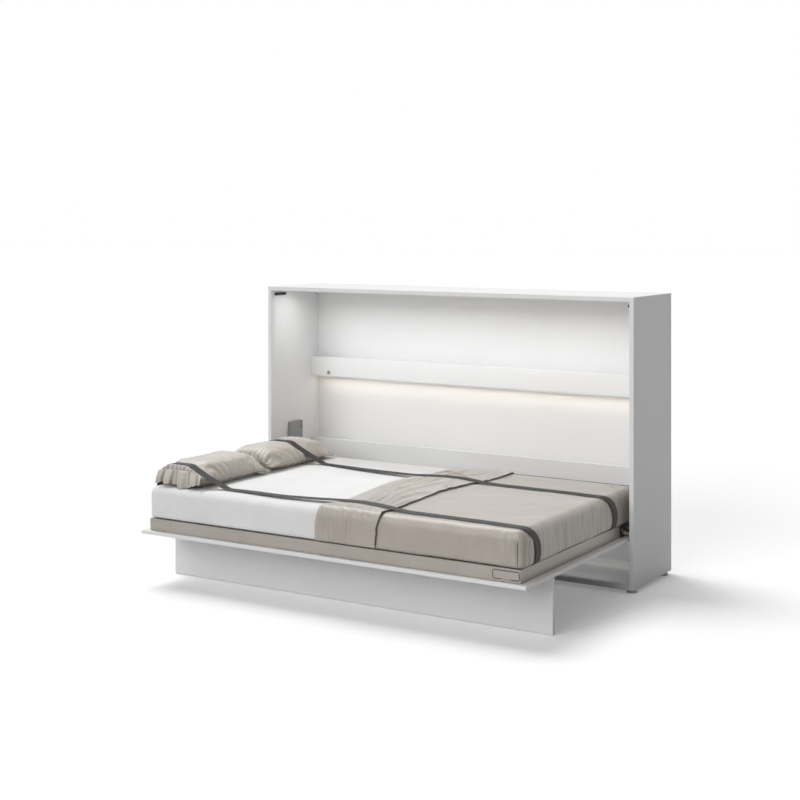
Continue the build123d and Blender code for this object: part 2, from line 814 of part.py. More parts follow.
strap_front_y = frame_front_y + strap_front_in - strap_wide / 2
strap_rear_y = frame_front_y + strap_rear_in - strap_wide / 2
pillow_floor = mattress_top + pillow_lift
crown_front = pillow_floor + pillow_crown * pillow_shares[3][2] - strap_press
crown_rear = pillow_floor + pillow_crown - strap_press

# Mattress with rounded edges, in its fitted sheet
with BuildPart() as mattress:
    mattress_form(0)
finish(mattress, "mattress")

# Duvet over the right half of the mattress, its left end turned back as a second layer
with BuildPart() as flap_layer:
    mattress_form(duvet_thick + flap_thick)
    block(
        (duvet_left_x, flap_right_x),
        (mattress_front_y - overrun, mattress_rear_y + overrun),
        (mattress_base - overrun, mattress_top + overrun),
        Mode.INTERSECT,
    )

with BuildPart() as duvet:
    mattress_form(duvet_thick)
    add(flap_layer.part)
    front_out = mattress_front_y - duvet_thick - flap_thick
    top_out = mattress_top + duvet_thick + flap_thick
    for share in fold_front_shares:
        x = duvet_left_x + share * flap_long
        hem_z = mattress_base + duvet_hem
        round_z(x, front_out + fold_radius - fold_proud, (hem_z, mattress_base + fold_tall), fold_radius)
    for start, end in fold_top_shares:
        ends = [
            Vector(
                duvet_left_x + share_x * flap_long,
                mattress_front_y + share_y * mattress_width,
                top_out - fold_radius + fold_proud,
            )
            for share_x, share_y in (start, end)
        ]
        with BuildSketch(Plane(ends[0], z_dir=ends[1] - ends[0])) as ridge:
            Circle(fold_radius)
        extrude(ridge.sketch, amount=(ends[1] - ends[0]).length)
        for point in ends:
            with Locations(point):
                Sphere(fold_radius)
    block(
        (-half_width, duvet_left_x),
        (mattress_front_y - overrun, mattress_rear_y + overrun),
        (mattress_base - overrun, mattress_top + overrun),
        Mode.SUBTRACT,
    )
    block(
        (-half_width, half_width),
        (mattress_front_y - overrun, mattress_rear_y + overrun),
        (mattress_base - overrun, mattress_base + duvet_hem),
        Mode.SUBTRACT,
    )
    add(mattress.part, mode=Mode.SUBTRACT)
    above_strap(strap_front_y, crown_front)
    above_strap(strap_rear_y, crown_rear)
finish(duvet, "duvet")

# Pillows: crowned across and drawn in at the sides; all ends are thin but the front one's near end
pillow_front_y = mattress_front_y + pillow_front_start
pillow_rear_y = pillow_front_y + pillow_front_long + pillow_between
for name, shares, start_y, long, mid, strap_y, crown in (
    ("front", pillow_blunt_shares, pillow_front_y, pillow_front_long, pillow_front_mid, strap_front_y, crown_front),
    ("rear", pillow_shares, pillow_rear_y, pillow_rear_long, pillow_rear_mid, strap_rear_y, crown_rear),
):
    mid_x = -half_width + mid
    with BuildPart() as pillow:
        for along_share, half_share, crown_share in shares:
            half = pillow_half * half_share
            foot = half * pillow_foot_share
            seam_z = pillow_floor + pillow_lip + pillow_seam * crown_share
            rise = pillow_lip + (pillow_crown - pillow_seam - 2 * pillow_lip) * crown_share
            crown_z = seam_z + rise
            shoulder_z = seam_z + rise * pillow_shoulder_rise_share
            bulge_z = seam_z + rise * pillow_bulge_rise_share
            with BuildSketch(Plane.XZ.offset(-(start_y + long * along_share))):
                with BuildLine():
                    Line((mid_x - foot, pillow_floor), (mid_x + foot, pillow_floor))
                    Line((mid_x + foot, pillow_floor), (mid_x + half, seam_z))
                    for edge in (1, -1):
                        bulge_x = mid_x + edge * half * pillow_bulge_share
                        shoulder_x = mid_x + edge * half * pillow_shoulder_share
                        ThreePointArc((mid_x + edge * half, seam_z), (bulge_x, bulge_z), (shoulder_x, shoulder_z))
                    crest = half * pillow_shoulder_share
                    ThreePointArc((mid_x + crest, shoulder_z), (mid_x, crown_z), (mid_x - crest, shoulder_z))
                    Line((mid_x - half, seam_z), (mid_x - foot, pillow_floor))
                make_face()
        loft()
        above_strap(strap_y, crown)
    finish(pillow, f"pillow_{name}")

# Straps, each a flat band bent round the bedding, and their buckles on the left side
for name, y_mid, crown in (("front", strap_front_y, crown_front), ("rear", strap_rear_y, crown_rear)):
    points, radii = strap_route(crown)
    with BuildPart() as strap:
        with BuildLine(Plane.XZ.offset(-y_mid)) as line:
            FilletPolyline(*points, radius=radii)
        with BuildSketch(Plane(line.line @ 0, x_dir=(0, 1, 0), z_dir=line.line % 0)):
            Rectangle(strap_wide, strap_thick)
        sweep(path=line.line)
    finish(strap, f"strap_{name}")

buckle_x = -mattress_half - strap_gap - strap_thick
buckle_z = mattress_base + buckle_above_base
with BuildPart() as strap_buckles:
    for y_mid in (strap_front_y, strap_rear_y):
        block(
            (buckle_x - buckle_thick, buckle_x),
            (y_mid - buckle_wide / 2, y_mid + buckle_wide / 2),
            (buckle_z, buckle_z + buckle_tall),
        )
    chamfer(strap_buckles.edges().filter_by(Axis.X), board_edge)
finish(strap_buckles, "strap_buckles")

print("pivot", pivot_y, pivot_z, "leg axis", leg_axis_y, leg_axis_z)
print("anchor", anchor_at_y, anchor_z, "lever", lever_y, lever_z)
print("spring length", spring_length, "swing degrees", degrees(swing))
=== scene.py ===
import json
from math import pi, radians

import bpy
import numpy as np
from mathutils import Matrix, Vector, noise


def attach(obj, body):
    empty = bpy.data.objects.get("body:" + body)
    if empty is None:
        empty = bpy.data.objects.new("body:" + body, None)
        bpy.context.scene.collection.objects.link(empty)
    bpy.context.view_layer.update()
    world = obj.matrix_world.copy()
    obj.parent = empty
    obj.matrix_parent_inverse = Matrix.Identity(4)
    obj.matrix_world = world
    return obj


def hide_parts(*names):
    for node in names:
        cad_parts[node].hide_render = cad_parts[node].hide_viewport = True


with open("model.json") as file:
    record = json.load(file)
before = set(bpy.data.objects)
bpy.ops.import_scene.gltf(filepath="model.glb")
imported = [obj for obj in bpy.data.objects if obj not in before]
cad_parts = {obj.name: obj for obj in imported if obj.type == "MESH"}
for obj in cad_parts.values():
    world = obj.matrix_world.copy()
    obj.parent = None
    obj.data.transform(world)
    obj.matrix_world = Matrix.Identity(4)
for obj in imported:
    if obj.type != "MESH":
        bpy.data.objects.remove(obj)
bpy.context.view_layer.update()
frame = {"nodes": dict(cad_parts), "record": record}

# Places taken from the part, in metres
SHEET_LEVEL = 0.470
MATTRESS_LOW = np.array((-0.998, -0.7395, 0.3162))
MATTRESS_HIGH = np.array((0.998, 0.4565, SHEET_LEVEL))
# How far the mattress's edges are rounded: seen from above, at the top and at the base
EDGE_PLAN, EDGE_TOP, EDGE_BASE = 0.028, 0.040, 0.012
# The bed's pivot as Y and Z, and how far from it anything on the bed may reach
PIVOT = np.array((0.318, 0.2755))
SWING_REACH = 1.0810
DUVET_PLAN = 0.042
DUVET_THICK = 0.006
STRAP_WIDE = 0.050
STRAP_THICK = 0.002
STRAP_FRONT_Y = -0.655
STRAP_REAR_Y = 0.137
PILLOW_MID_X = -0.847
PILLOW_HALF = 0.149

# Where each strap lies in Y, by its run along X; past the bed's right edge the run goes on down the end
STRAP_WAYS = {
    STRAP_FRONT_Y: ((-1.20, -0.655), (-0.78, -0.655), (-0.69, -0.645), (-0.62, -0.622), (-0.50, -0.624),
                    (-0.27, -0.648), (-0.09, -0.632), (0.04, -0.608), (0.12, -0.594), (0.22, -0.612),
                    (0.35, -0.650), (0.44, -0.654), (0.82, -0.663), (0.97, -0.678), (1.01, -0.660),
                    (1.07, -0.610), (1.12, -0.603), (1.15, -0.620), (1.30, -0.640)),
    STRAP_REAR_Y: ((-1.20, 0.137), (-0.84, 0.140), (-0.76, 0.153), (-0.68, 0.184), (-0.63, 0.200),
                   (-0.545, 0.186), (-0.36, 0.150), (-0.19, 0.128), (-0.03, 0.112), (0.05, 0.146),
                   (0.125, 0.166), (0.21, 0.164), (0.32, 0.124), (0.61, 0.117), (0.81, 0.114), (0.96, 0.100),
                   (1.02, 0.140), (1.08, 0.190), (1.13, 0.190), (1.15, 0.165), (1.30, 0.145)),
}


# Camera and studio ---------------------------------------------------------------------------


def place_camera():
    """The photograph's eye: level, turned to the left, with the picture shifted down."""
    lens = bpy.data.cameras.new("photo_camera")
    lens.sensor_width = 36
    lens.lens = 65.84
    lens.shift_y = -0.2279
    lens.clip_end = 200
    camera = bpy.data.objects.new("photo_camera", lens)
    camera.location = (3.6997, -6.0570, 1.75)
    camera.rotation_euler = (radians(90), 0, radians(31.71))
    bpy.context.scene.collection.objects.link(camera)
    bpy.context.scene.camera = camera


def studio_lamp(name, aim_from, width, strength):
    """A soft far lamp that shines from a direction."""
    lamp = bpy.data.lights.new(name, "SUN")
    lamp.angle = radians(width)
    lamp.energy = strength
    holder = bpy.data.objects.new(name, lamp)
    holder.rotation_euler = Vector(aim_from).to_track_quat("Z", "Y").to_euler()
    bpy.context.scene.collection.objects.link(holder)


def shown_rays(tree):
    """A factor of 1 for what the camera sees, straight on, in a gloss or through glass."""
    rays = tree.nodes.new("ShaderNodeLightPath")
    seen = tree.nodes.new("ShaderNodeMath")
    seen.operation = "MAXIMUM"
    tree.links.new(rays.outputs["Is Camera Ray"], seen.inputs[0])
    tree.links.new(rays.outputs["Is Glossy Ray"], seen.inputs[1])
    both = tree.nodes.new("ShaderNodeMath")
    both.operation = "MAXIMUM"
    tree.links.new(seen.outputs[0], both.inputs[0])
    tree.links.new(rays.outputs["Is Transmission Ray"], both.inputs[1])
    return both.outputs[0]


def glow_lamp(name, place, tilt, wide, tall, strength):
    """A faint panel of light inside the cabinet, tilted in degrees from facing down to facing the back."""
    lamp = bpy.data.lights.new(name, "AREA")
    lamp.shape = "RECTANGLE"
    lamp.size, lamp.size_y = wide, tall
    lamp.energy = strength
    holder = bpy.data.objects.new(name, lamp)
    holder.location = (0, *place)
    holder.rotation_euler = (radians(tilt), 0, 0)
    holder.visible_camera = False
    holder.visible_glossy = False
    bpy.context.scene.collection.objects.link(holder)


def light_studio():
    """A pale dome, two soft lamps overhead at the left, a front fill and faint panels in the cabinet."""
    world = bpy.data.worlds.new("studio_dome")
    bpy.context.scene.world = world
    world.use_nodes = True
    tree = world.node_tree
    dome = tree.nodes["Background"]
    dome.inputs["Color"].default_value = (1, 1, 1, 1)
    level = tree.nodes.new("ShaderNodeMapRange")
    level.inputs["To Min"].default_value = 0.25
    level.inputs["To Max"].default_value = 1.0
    tree.links.new(shown_rays(tree), level.inputs["Value"])
    tree.links.new(level.outputs["Result"], dome.inputs["Strength"])
    studio_lamp("overhead_lamp", (-0.42, 0.13, 0.90), 28, 1.80)
    studio_lamp("high_rear_lamp", (-0.26, 0.50, 0.85), 26, 0.35)
    studio_lamp("front_fill", (-0.16, -0.90, 0.42), 40, 1.55)
    glow_lamp("niche_glow", (0.30, 1.22), 92, 2.0, 0.28, 0.75)
    glow_lamp("ceiling_glow", (0.42, 1.345), -14, 1.9, 0.20, 4.2)
    glow_lamp("plinth_glow", (0.30, 0.15), 90, 1.9, 0.18, 0.5)


def lay_floor():
    """A plain white floor that keeps the bed's soft shadow."""
    far = 60
    lit_grey, shown_grey, glow = 0.45, 0.80, 0.19
    mesh = bpy.data.meshes.new("studio_floor")
    mesh.from_pydata([(-far, -far, 0), (far, -far, 0), (far, far, 0), (-far, far, 0)], [], [(0, 1, 2, 3)])
    floor = bpy.data.objects.new("studio_floor", mesh)
    floor.location.z = -0.0005
    bpy.context.scene.collection.objects.link(floor)
    paint = bpy.data.materials.new("studio_floor_white")
    paint.use_nodes = True
    tree = paint.node_tree
    shader = tree.nodes["Principled BSDF"]
    tone = tree.nodes.new("ShaderNodeMix")
    tone.data_type = "RGBA"
    tone.inputs["A"].default_value = (*grey(lit_grey), 1)
    tone.inputs["B"].default_value = (*grey(shown_grey), 1)
    tree.links.new(shown_rays(tree), tone.inputs["Factor"])
    tree.links.new(tone.outputs["Result"], shader.inputs["Base Color"])
    shader.inputs["Roughness"].default_value = 0.9
    shader.inputs["Specular IOR Level"].default_value = 0.0
    shader.inputs["Emission Color"].default_value = (1, 1, 1, 1)
    lift = tree.nodes.new("ShaderNodeMath")
    lift.operation = "MULTIPLY"
    lift.inputs[1].default_value = glow
    tree.links.new(shown_rays(tree), lift.inputs[0])
    tree.links.new(lift.outputs[0], shader.inputs["Emission Strength"])
    mesh.materials.append(paint)


# Effects shared by the finishes --------------------------------------------------------------


def effect_group(name, inputs, outputs):
    """An empty shader node group with named inputs and outputs."""
    tree = bpy.data.node_groups.new(name, "ShaderNodeTree")
    for label, value in inputs:
        socket = tree.interface.new_socket(label, in_out="INPUT", socket_type="NodeSocketFloat")
        socket.default_value = value
    for label in outputs:
        tree.interface.new_socket(label, in_out="OUTPUT", socket_type="NodeSocketFloat")
    return tree, tree.nodes.new("NodeGroupInput"), tree.nodes.new("NodeGroupOutput")


def math_node(tree, operation, first, second=None, third=None):
    """A Math node whose inputs are sockets or numbers; gives its output socket."""
    node = tree.nodes.new("ShaderNodeMath")
    node.operation = operation
    for slot, value in enumerate((first, second, third)):
        if value is None:
            continue
        if isinstance(value, (int, float)):
            node.inputs[slot].default_value = value
        else:
            tree.links.new(value, node.inputs[slot])
    return node.outputs[0]


def object_place(tree, stretch=(1, 1, 1)):
    """Places on the piece in metres, stretched along each axis."""
    place = tree.nodes.new("ShaderNodeTexCoord")
    scale = tree.nodes.new("ShaderNodeMapping")
    scale.inputs["Scale"].default_value = stretch
    tree.links.new(place.outputs["Object"], scale.inputs["Vector"])
    return scale.outputs["Vector"]


def noise_socket(tree, place, scale, detail=3.0, rough=0.5):
    """A noise texture's value at a place."""
    node = tree.nodes.new("ShaderNodeTexNoise")
    node.inputs["Detail"].default_value = detail
    node.inputs["Roughness"].default_value = rough
    tree.links.new(place, node.inputs["Vector"])
    if isinstance(scale, (int, float)):
        node.inputs["Scale"].default_value = scale
    else:
        tree.links.new(scale, node.inputs["Scale"])
    return node.outputs["Fac"]


def surface_mottle():
    """Slow cloudy change with a fine pebbled skin, for boards, coats and plastics."""
    tree, given, out = effect_group(
        "surface_mottle", (("Cloud Scale", 3.0), ("Pebble Scale", 300.0)), ("Mask", "Height"))
    place = object_place(tree)
    cloud = noise_socket(tree, place, given.outputs["Cloud Scale"], 4.0)
    pebble = noise_socket(tree, place, given.outputs["Pebble Scale"], 2.0)
    tree.links.new(math_node(tree, "MULTIPLY_ADD", pebble, 0.25, math_node(tree, "MULTIPLY", cloud, 0.75)),
                   out.inputs["Mask"])
    tree.links.new(pebble, out.inputs["Height"])
    return tree


def drawn_lines():
    """Fine lines drawn along the length, for brushed and drawn metal."""
    tree, given, out = effect_group("drawn_lines", (("Line Scale", 120.0),), ("Mask", "Height"))
    place = object_place(tree, (0.06, 1, 1))
    lines = noise_socket(tree, place, given.outputs["Line Scale"], 6.0, 0.7)
    tree.links.new(lines, out.inputs["Mask"])
    tree.links.new(lines, out.inputs["Height"])
    return tree


def timber_grain():
    """Long grain along the slat with darker pores."""
    tree, given, out = effect_group("timber_grain", (("Grain Scale", 30.0),), ("Mask", "Height"))
    place = object_place(tree, (1, 0.05, 1))
    bands = noise_socket(tree, place, given.outputs["Grain Scale"], 6.0, 0.65)
    pores = noise_socket(tree, place, math_node(tree, "MULTIPLY", given.outputs["Grain Scale"], 9.0), 2.0)
    tree.links.new(math_node(tree, "MULTIPLY_ADD", pores, 0.3, math_node(tree, "MULTIPLY", bands, 0.7)),
                   out.inputs["Mask"])
    tree.links.new(pores, out.inputs["Height"])
    return tree


def painted_plate_shadow():
    """Painted shadow: a dark line round the corner plates, where each stands off the rail, and inside their
    holes.
    """
    tree, given, out = effect_group(
        "painted_plate_shadow",
        (("Middle X", 0.9225), ("Middle Z", 0.28775), ("Half Long", 0.0625), ("Half Tall", 0.019),
         ("Shadow Width", 0.0035)),
        ("Mask",))
    split = tree.nodes.new("ShaderNodeSeparateXYZ")
    tree.links.new(object_place(tree), split.inputs[0])
    far_x = math_node(tree, "ABSOLUTE", math_node(
        tree, "SUBTRACT", math_node(tree, "ABSOLUTE", split.outputs["X"]), given.outputs["Middle X"]))
    far_z = math_node(tree, "ABSOLUTE", math_node(
        tree, "SUBTRACT", split.outputs["Z"], given.outputs["Middle Z"]))
    past_x = math_node(tree, "SUBTRACT", far_x, math_node(
        tree, "SUBTRACT", given.outputs["Half Long"], given.outputs["Shadow Width"]))
    past_z = math_node(tree, "SUBTRACT", far_z, math_node(
        tree, "SUBTRACT", given.outputs["Half Tall"], given.outputs["Shadow Width"]))
    tree.links.new(math_node(tree, "GREATER_THAN", math_node(tree, "MAXIMUM", past_x, past_z), 0.0),
                   out.inputs["Mask"])
    return tree


def add_painted_plate_shadow(paint):
    """Adds the painted shadow round the corner plates to a finish."""
    tree = paint.node_tree
    shader = tree.nodes["Principled BSDF"]
    rim = tree.nodes.new("ShaderNodeGroup")
    rim.node_tree = painted_plate_shadow()
    line = tree.nodes.new("ShaderNodeMix")
    line.data_type = "RGBA"
    # The painted shadow's dark colour
    line.inputs["B"].default_value = (0.05, 0.045, 0.04, 1)
    tree.links.new(rim.outputs["Mask"], line.inputs["Factor"])
    tree.links.new(shader.inputs["Base Color"].links[0].from_socket, line.inputs["A"])
    tree.links.new(line.outputs["Result"], shader.inputs["Base Color"])


def cloth_weave():
    """Threads that cross at a pitch, with slubs and slow creasing."""
    tree, given, out = effect_group(
        "cloth_weave",
        (("Threads per Metre", 900.0), ("Crease Scale", 14.0), ("Crease Share", 0.6)),
        ("Mask", "Height"))
    place = object_place(tree)
    split = tree.nodes.new("ShaderNodeSeparateXYZ")
    tree.links.new(place, split.inputs[0])
    turn = math_node(tree, "MULTIPLY", given.outputs["Threads per Metre"], 2 * pi)
    warp = math_node(tree, "SINE", math_node(
        tree, "MULTIPLY", math_node(tree, "ADD", split.outputs["X"], split.outputs["Z"]), turn))
    weft = math_node(tree, "SINE", math_node(
        tree, "MULTIPLY", math_node(tree, "SUBTRACT", split.outputs["Y"], split.outputs["Z"]), turn))
    threads = math_node(tree, "MULTIPLY_ADD", math_node(tree, "ADD", warp, weft), 0.25, 0.5)
    slubs = noise_socket(tree, object_place(tree, (1, 1, 3)), 220.0, 3.0, 0.6)
    crease = noise_socket(tree, place, given.outputs["Crease Scale"], 5.0, 0.55)
    fine = math_node(tree, "MULTIPLY_ADD", slubs, 0.5, math_node(tree, "MULTIPLY", threads, 0.5))
    rest = math_node(tree, "SUBTRACT", 1.0, given.outputs["Crease Share"])
    both = math_node(tree, "ADD", math_node(tree, "MULTIPLY", crease, given.outputs["Crease Share"]),
                     math_node(tree, "MULTIPLY", fine, rest))
    tree.links.new(both, out.inputs["Mask"])
    tree.links.new(both, out.inputs["Height"])
    return tree


# How dark the painted shade in creases gets, as a share of the darker colour
PAINTED_CREASE_SHADE_SHARE = 0.30


def grey(level):
    """A neutral colour."""
    return (level, level, level)


def finish_of(name, effect, values, dark, pale, rough, bump, **constants):
    """A material: a shared effect drives its colour, roughness and bump; painted shade darkens its creases;
    the rest is set plainly.
    """
    paint = bpy.data.materials.new(name)
    paint.use_nodes = True
    tree = paint.node_tree
    shader = tree.nodes["Principled BSDF"]
    group = tree.nodes.new("ShaderNodeGroup")
    group.node_tree = effect
    for label, value in values.items():
        group.inputs[label].default_value = value
    colour = tree.nodes.new("ShaderNodeMix")
    colour.data_type = "RGBA"
    colour.inputs["A"].default_value = (*dark, 1)
    colour.inputs["B"].default_value = (*pale, 1)
    contrast = tree.nodes.new("ShaderNodeMapRange")
    contrast.inputs["From Min"].default_value = 0.3
    contrast.inputs["From Max"].default_value = 0.7
    tree.links.new(group.outputs["Mask"], contrast.inputs["Value"])
    tree.links.new(contrast.outputs["Result"], colour.inputs["Factor"])
    # Painted shade: a piece's crease attribute darkens the colour towards a darker copy of it in folds and
    # hollows
    shade = tree.nodes.new("ShaderNodeAttribute")
    shade.attribute_name = "painted_crease_shade"
    painted_crease_shade_mix = tree.nodes.new("ShaderNodeMix")
    painted_crease_shade_mix.data_type = "RGBA"
    painted_crease_shade_mix.inputs["B"].default_value = (*(level * PAINTED_CREASE_SHADE_SHARE for level in dark), 1)
    tree.links.new(shade.outputs["Fac"], painted_crease_shade_mix.inputs["Factor"])
    tree.links.new(colour.outputs["Result"], painted_crease_shade_mix.inputs["A"])
    tree.links.new(painted_crease_shade_mix.outputs["Result"], shader.inputs["Base Color"])
    spread = tree.nodes.new("ShaderNodeMapRange")
    spread.inputs["To Min"].default_value, spread.inputs["To Max"].default_value = rough
    tree.links.new(group.outputs["Mask"], spread.inputs["Value"])
    tree.links.new(spread.outputs["Result"], shader.inputs["Roughness"])
    relief = tree.nodes.new("ShaderNodeBump")
    relief.inputs["Strength"].default_value, relief.inputs["Distance"].default_value = bump
    tree.links.new(group.outputs["Height"], relief.inputs["Height"])
    tree.links.new(relief.outputs["Normal"], shader.inputs["Normal"])
    for label, value in constants.items():
        shader.inputs[label.replace("_", " ")].default_value = value
    return paint


def make_finishes():
    """Every finish of the bed, by its slot name."""
    made = {}

    def finish(name, *recipe, **constants):
        made[name] = finish_of(name, *recipe, **constants)

    # Each finish: its effect with that effect's values, its darker and paler colour, the least and most
    # roughness, the bump's strength and depth in metres, and what is the same all over
    mottle, lines, grain, weave = surface_mottle(), drawn_lines(), timber_grain(), cloth_weave()
    board = (mottle, {"Cloud Scale": 2.5, "Pebble Scale": 260.0})
    finish("white_board", *board, grey(0.75), grey(0.78), (0.38, 0.46), (0.06, 0.001), Specular_IOR_Level=0.3)
    finish("white_back", *board, grey(0.77), grey(0.80), (0.48, 0.58), (0.06, 0.001), Specular_IOR_Level=0.3)

    coat = (mottle, {"Cloud Scale": 6.0, "Pebble Scale": 900.0})
    for name in ("frame_steel", "corner_plate_steel"):
        finish(name, *coat, (0.345, 0.315, 0.285), (0.385, 0.352, 0.32), (0.34, 0.46), (0.10, 0.001),
               Metallic=0.35)
    # The corner plates' steel carries a painted shadow round each plate
    add_painted_plate_shadow(made["corner_plate_steel"])
    finish("grey_steel", *coat, grey(0.26), grey(0.31), (0.38, 0.5), (0.12, 0.001), Metallic=0.2)
    finish("black_steel", *coat, grey(0.012), grey(0.02), (0.3, 0.45), (0.12, 0.001))
    finish("zinc_steel", lines, {"Line Scale": 160.0}, grey(0.50), (0.66, 0.66, 0.68), (0.25, 0.42),
           (0.08, 0.0005), Metallic=1.0)
    finish("chromed_rod", lines, {"Line Scale": 60.0}, grey(0.74), grey(0.82), (0.06, 0.12),
           (0.02, 0.0005), Metallic=1.0)
    finish("bush_bronze", *coat, (0.42, 0.28, 0.13), (0.56, 0.40, 0.21), (0.35, 0.5), (0.15, 0.0005),
           Metallic=1.0)
    finish("black_plastic", *coat, grey(0.014), grey(0.024), (0.42, 0.58), (0.2, 0.0008))
    finish("grey_plastic", *coat, grey(0.52), grey(0.58), (0.42, 0.58), (0.2, 0.0008))
    finish("led_aluminium", lines, {"Line Scale": 90.0}, grey(0.62), grey(0.76), (0.3, 0.45),
           (0.05, 0.0005), Metallic=1.0)
    finish("led_diffuser", *coat, (0.88, 0.84, 0.76), (0.95, 0.92, 0.85), (0.5, 0.6), (0.05, 0.0005),
           Emission_Color=(1.0, 0.88, 0.72, 1), Emission_Strength=8.0)
    finish("slat_wood", grain, {"Grain Scale": 34.0}, (0.40, 0.26, 0.14), (0.62, 0.45, 0.28), (0.4, 0.58),
           (0.3, 0.0006))

    cotton = (weave, {"Threads per Metre": 800.0, "Crease Scale": 7.0, "Crease Share": 0.8})
    satin = (weave, {"Threads per Metre": 700.0, "Crease Scale": 11.0, "Crease Share": 0.75})
    webbing = (weave, {"Threads per Metre": 330.0, "Crease Scale": 30.0, "Crease Share": 0.2})
    finish("sheet_cotton", *cotton, grey(0.70), grey(0.76), (0.82, 0.92), (0.35, 0.004), Sheen_Weight=0.15)
    finish("duvet_satin", *satin, (0.305, 0.262, 0.222), (0.38, 0.335, 0.291), (0.36, 0.52), (0.45, 0.006),
           Sheen_Weight=1.0, Sheen_Roughness=0.28, Coat_Weight=0.75, Coat_Roughness=0.42, IOR=1.65)
    finish("pillow_satin", *satin, (0.42, 0.372, 0.318), (0.52, 0.472, 0.414), (0.34, 0.50), (0.45, 0.006),
           Sheen_Weight=1.0, Sheen_Roughness=0.3, Coat_Weight=0.4, Coat_Roughness=0.46, IOR=1.65)
    # The hems' piping: a darker satin of its own, darkened further as painted shadow along the hems
    finish("hem_satin_painted_shadow", *satin, (0.10, 0.085, 0.072), (0.17, 0.145, 0.125), (0.45, 0.6), (0.45, 0.003),
           Sheen_Weight=0.2)
    finish("strap_webbing", *webbing, grey(0.020), grey(0.042), (0.6, 0.75), (0.6, 0.0015), Sheen_Weight=0.0)
    return made


# Shaping tools -------------------------------------------------------------------------------


def flow(points, scale, shift=0.0):
    """Smooth noise at each point, from about -1 to 1."""
    scaled = points * np.asarray(scale) + shift
    return np.array([noise.noise(Vector(point)) for point in scaled])


def waves(points, table):
    """Noise heights added up: how tight each is along X, Y and Z, where it starts, and how tall it is."""
    return sum(flow(points, scale, shift) * tall for scale, shift, tall in table)


def near_route(points, route):
    """The distance from each flat point to a route of flat points, and the share along it."""
    best = np.full(len(points), 1e9)
    share = np.zeros(len(points))
    route = np.asarray(route, float)
    for step, (start, end) in enumerate(zip(route[:-1], route[1:])):
        run = end - start
        along = np.clip(((points - start) @ run) / (run @ run), 0, 1)
        gap = np.linalg.norm(points - start - along[:, None] * run, axis=1)
        closer = gap < best
        best[closer] = gap[closer]
        share[closer] = ((step + along) / (len(route) - 1))[closer]
    return best, share


def smooth_step(values, low, high):
    """From 0 at low to 1 at high."""
    share = np.clip((values - low) / (high - low), 0, 1)
    return share * share * (3 - 2 * share)


def block_cells(counts):
    """The whole places and four-sided cells of a block's skin."""
    places, cells = {}, []

    def place(*at):
        return places.setdefault(at, len(places))

    across, deep, tall = counts
    for i in range(across):
        for j in range(deep):
            cells.append((place(i, j, tall), place(i + 1, j, tall), place(i + 1, j + 1, tall),
                          place(i, j + 1, tall)))
            cells.append((place(i, j, 0), place(i, j + 1, 0), place(i + 1, j + 1, 0), place(i + 1, j, 0)))
    for i in range(across):
        for k in range(tall):
            cells.append((place(i, 0, k), place(i + 1, 0, k), place(i + 1, 0, k + 1), place(i, 0, k + 1)))
            cells.append((place(i, deep, k), place(i, deep, k + 1), place(i + 1, deep, k + 1),
                          place(i + 1, deep, k)))
    for j in range(deep):
        for k in range(tall):
            cells.append((place(0, j, k), place(0, j, k + 1), place(0, j + 1, k + 1), place(0, j + 1, k)))
            cells.append((place(across, j, k), place(across, j + 1, k), place(across, j + 1, k + 1),
                          place(across, j, k + 1)))
    return np.array(list(places), float), np.array(cells)


def softened_block(low, high, step, edge_plan, edge_top, edge_base):
    """A block's skin with rounded edges: its points, the way out at each, and its cells."""
    counts = [max(2, round(size / step)) for size in high - low]
    whole, cells = block_cells(counts)
    sharp = low + whole / counts * (high - low)
    core = np.clip(sharp, low + (edge_plan, edge_plan, edge_base), high - (edge_plan, edge_plan, edge_top))
    out = sharp - core
    radii = np.stack([np.full(len(out), edge_plan), np.full(len(out), edge_plan),
                      np.where(out[:, 2] > 0, edge_top, edge_base)], axis=1)
    way = out / radii
    way /= np.linalg.norm(way, axis=1)[:, None]
    points = core + way * radii
    outward = way / radii
    outward /= np.linalg.norm(outward, axis=1)[:, None]
    return points, outward, cells


def within_swing(points):
    """Draws in what would touch the cabinet's top panel while the bed closes."""
    points = points.copy()
    arm = points[:, 1:] - PIVOT
    reach = np.linalg.norm(arm, axis=1)
    points[:, 1:] = PIVOT + arm * np.minimum(1, SWING_REACH / reach)[:, None]
    return points


def keep_cells(cells, wanted):
    """The numbers of the points that the wanted cells use, and those cells."""
    used, kept = np.unique(cells[wanted], return_inverse=True)
    return used, kept.reshape(-1, 4)


def add_piece(name, points, cells, slot, shade=None):
    """A smooth mesh piece in its finish, riding on the bed; its shade is painted shade that darkens its
    creases.
    """
    mesh = bpy.data.meshes.new(name)
    mesh.from_pydata(points.tolist(), [], cells if isinstance(cells, list) else cells.tolist())
    mesh.update()
    mesh.shade_smooth()
    mesh.materials.append(finishes[slot])
    if shade is not None:
        layer = mesh.attributes.new("painted_crease_shade", "FLOAT", "POINT")
        layer.data.foreach_set("value", np.clip(shade, 0, 1).astype(np.float32))
    piece = bpy.data.objects.new(name, mesh)
    bpy.context.scene.collection.objects.link(piece)
    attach(piece, "bed")
    return piece


def thicken(piece, thickness):
    """Gives a cloth its thickness inward."""
    rim = piece.modifiers.new("cloth_thickness", "SOLIDIFY")
    rim.thickness = thickness
    rim.offset = -1


def grid_cells(rows, columns):
    """The cells of a grid of rows by columns of points."""
    start = (np.arange(rows - 1)[:, None] * columns + np.arange(columns - 1)).ravel()
    return np.stack([start, start + 1, start + columns + 1, start + columns], axis=1)


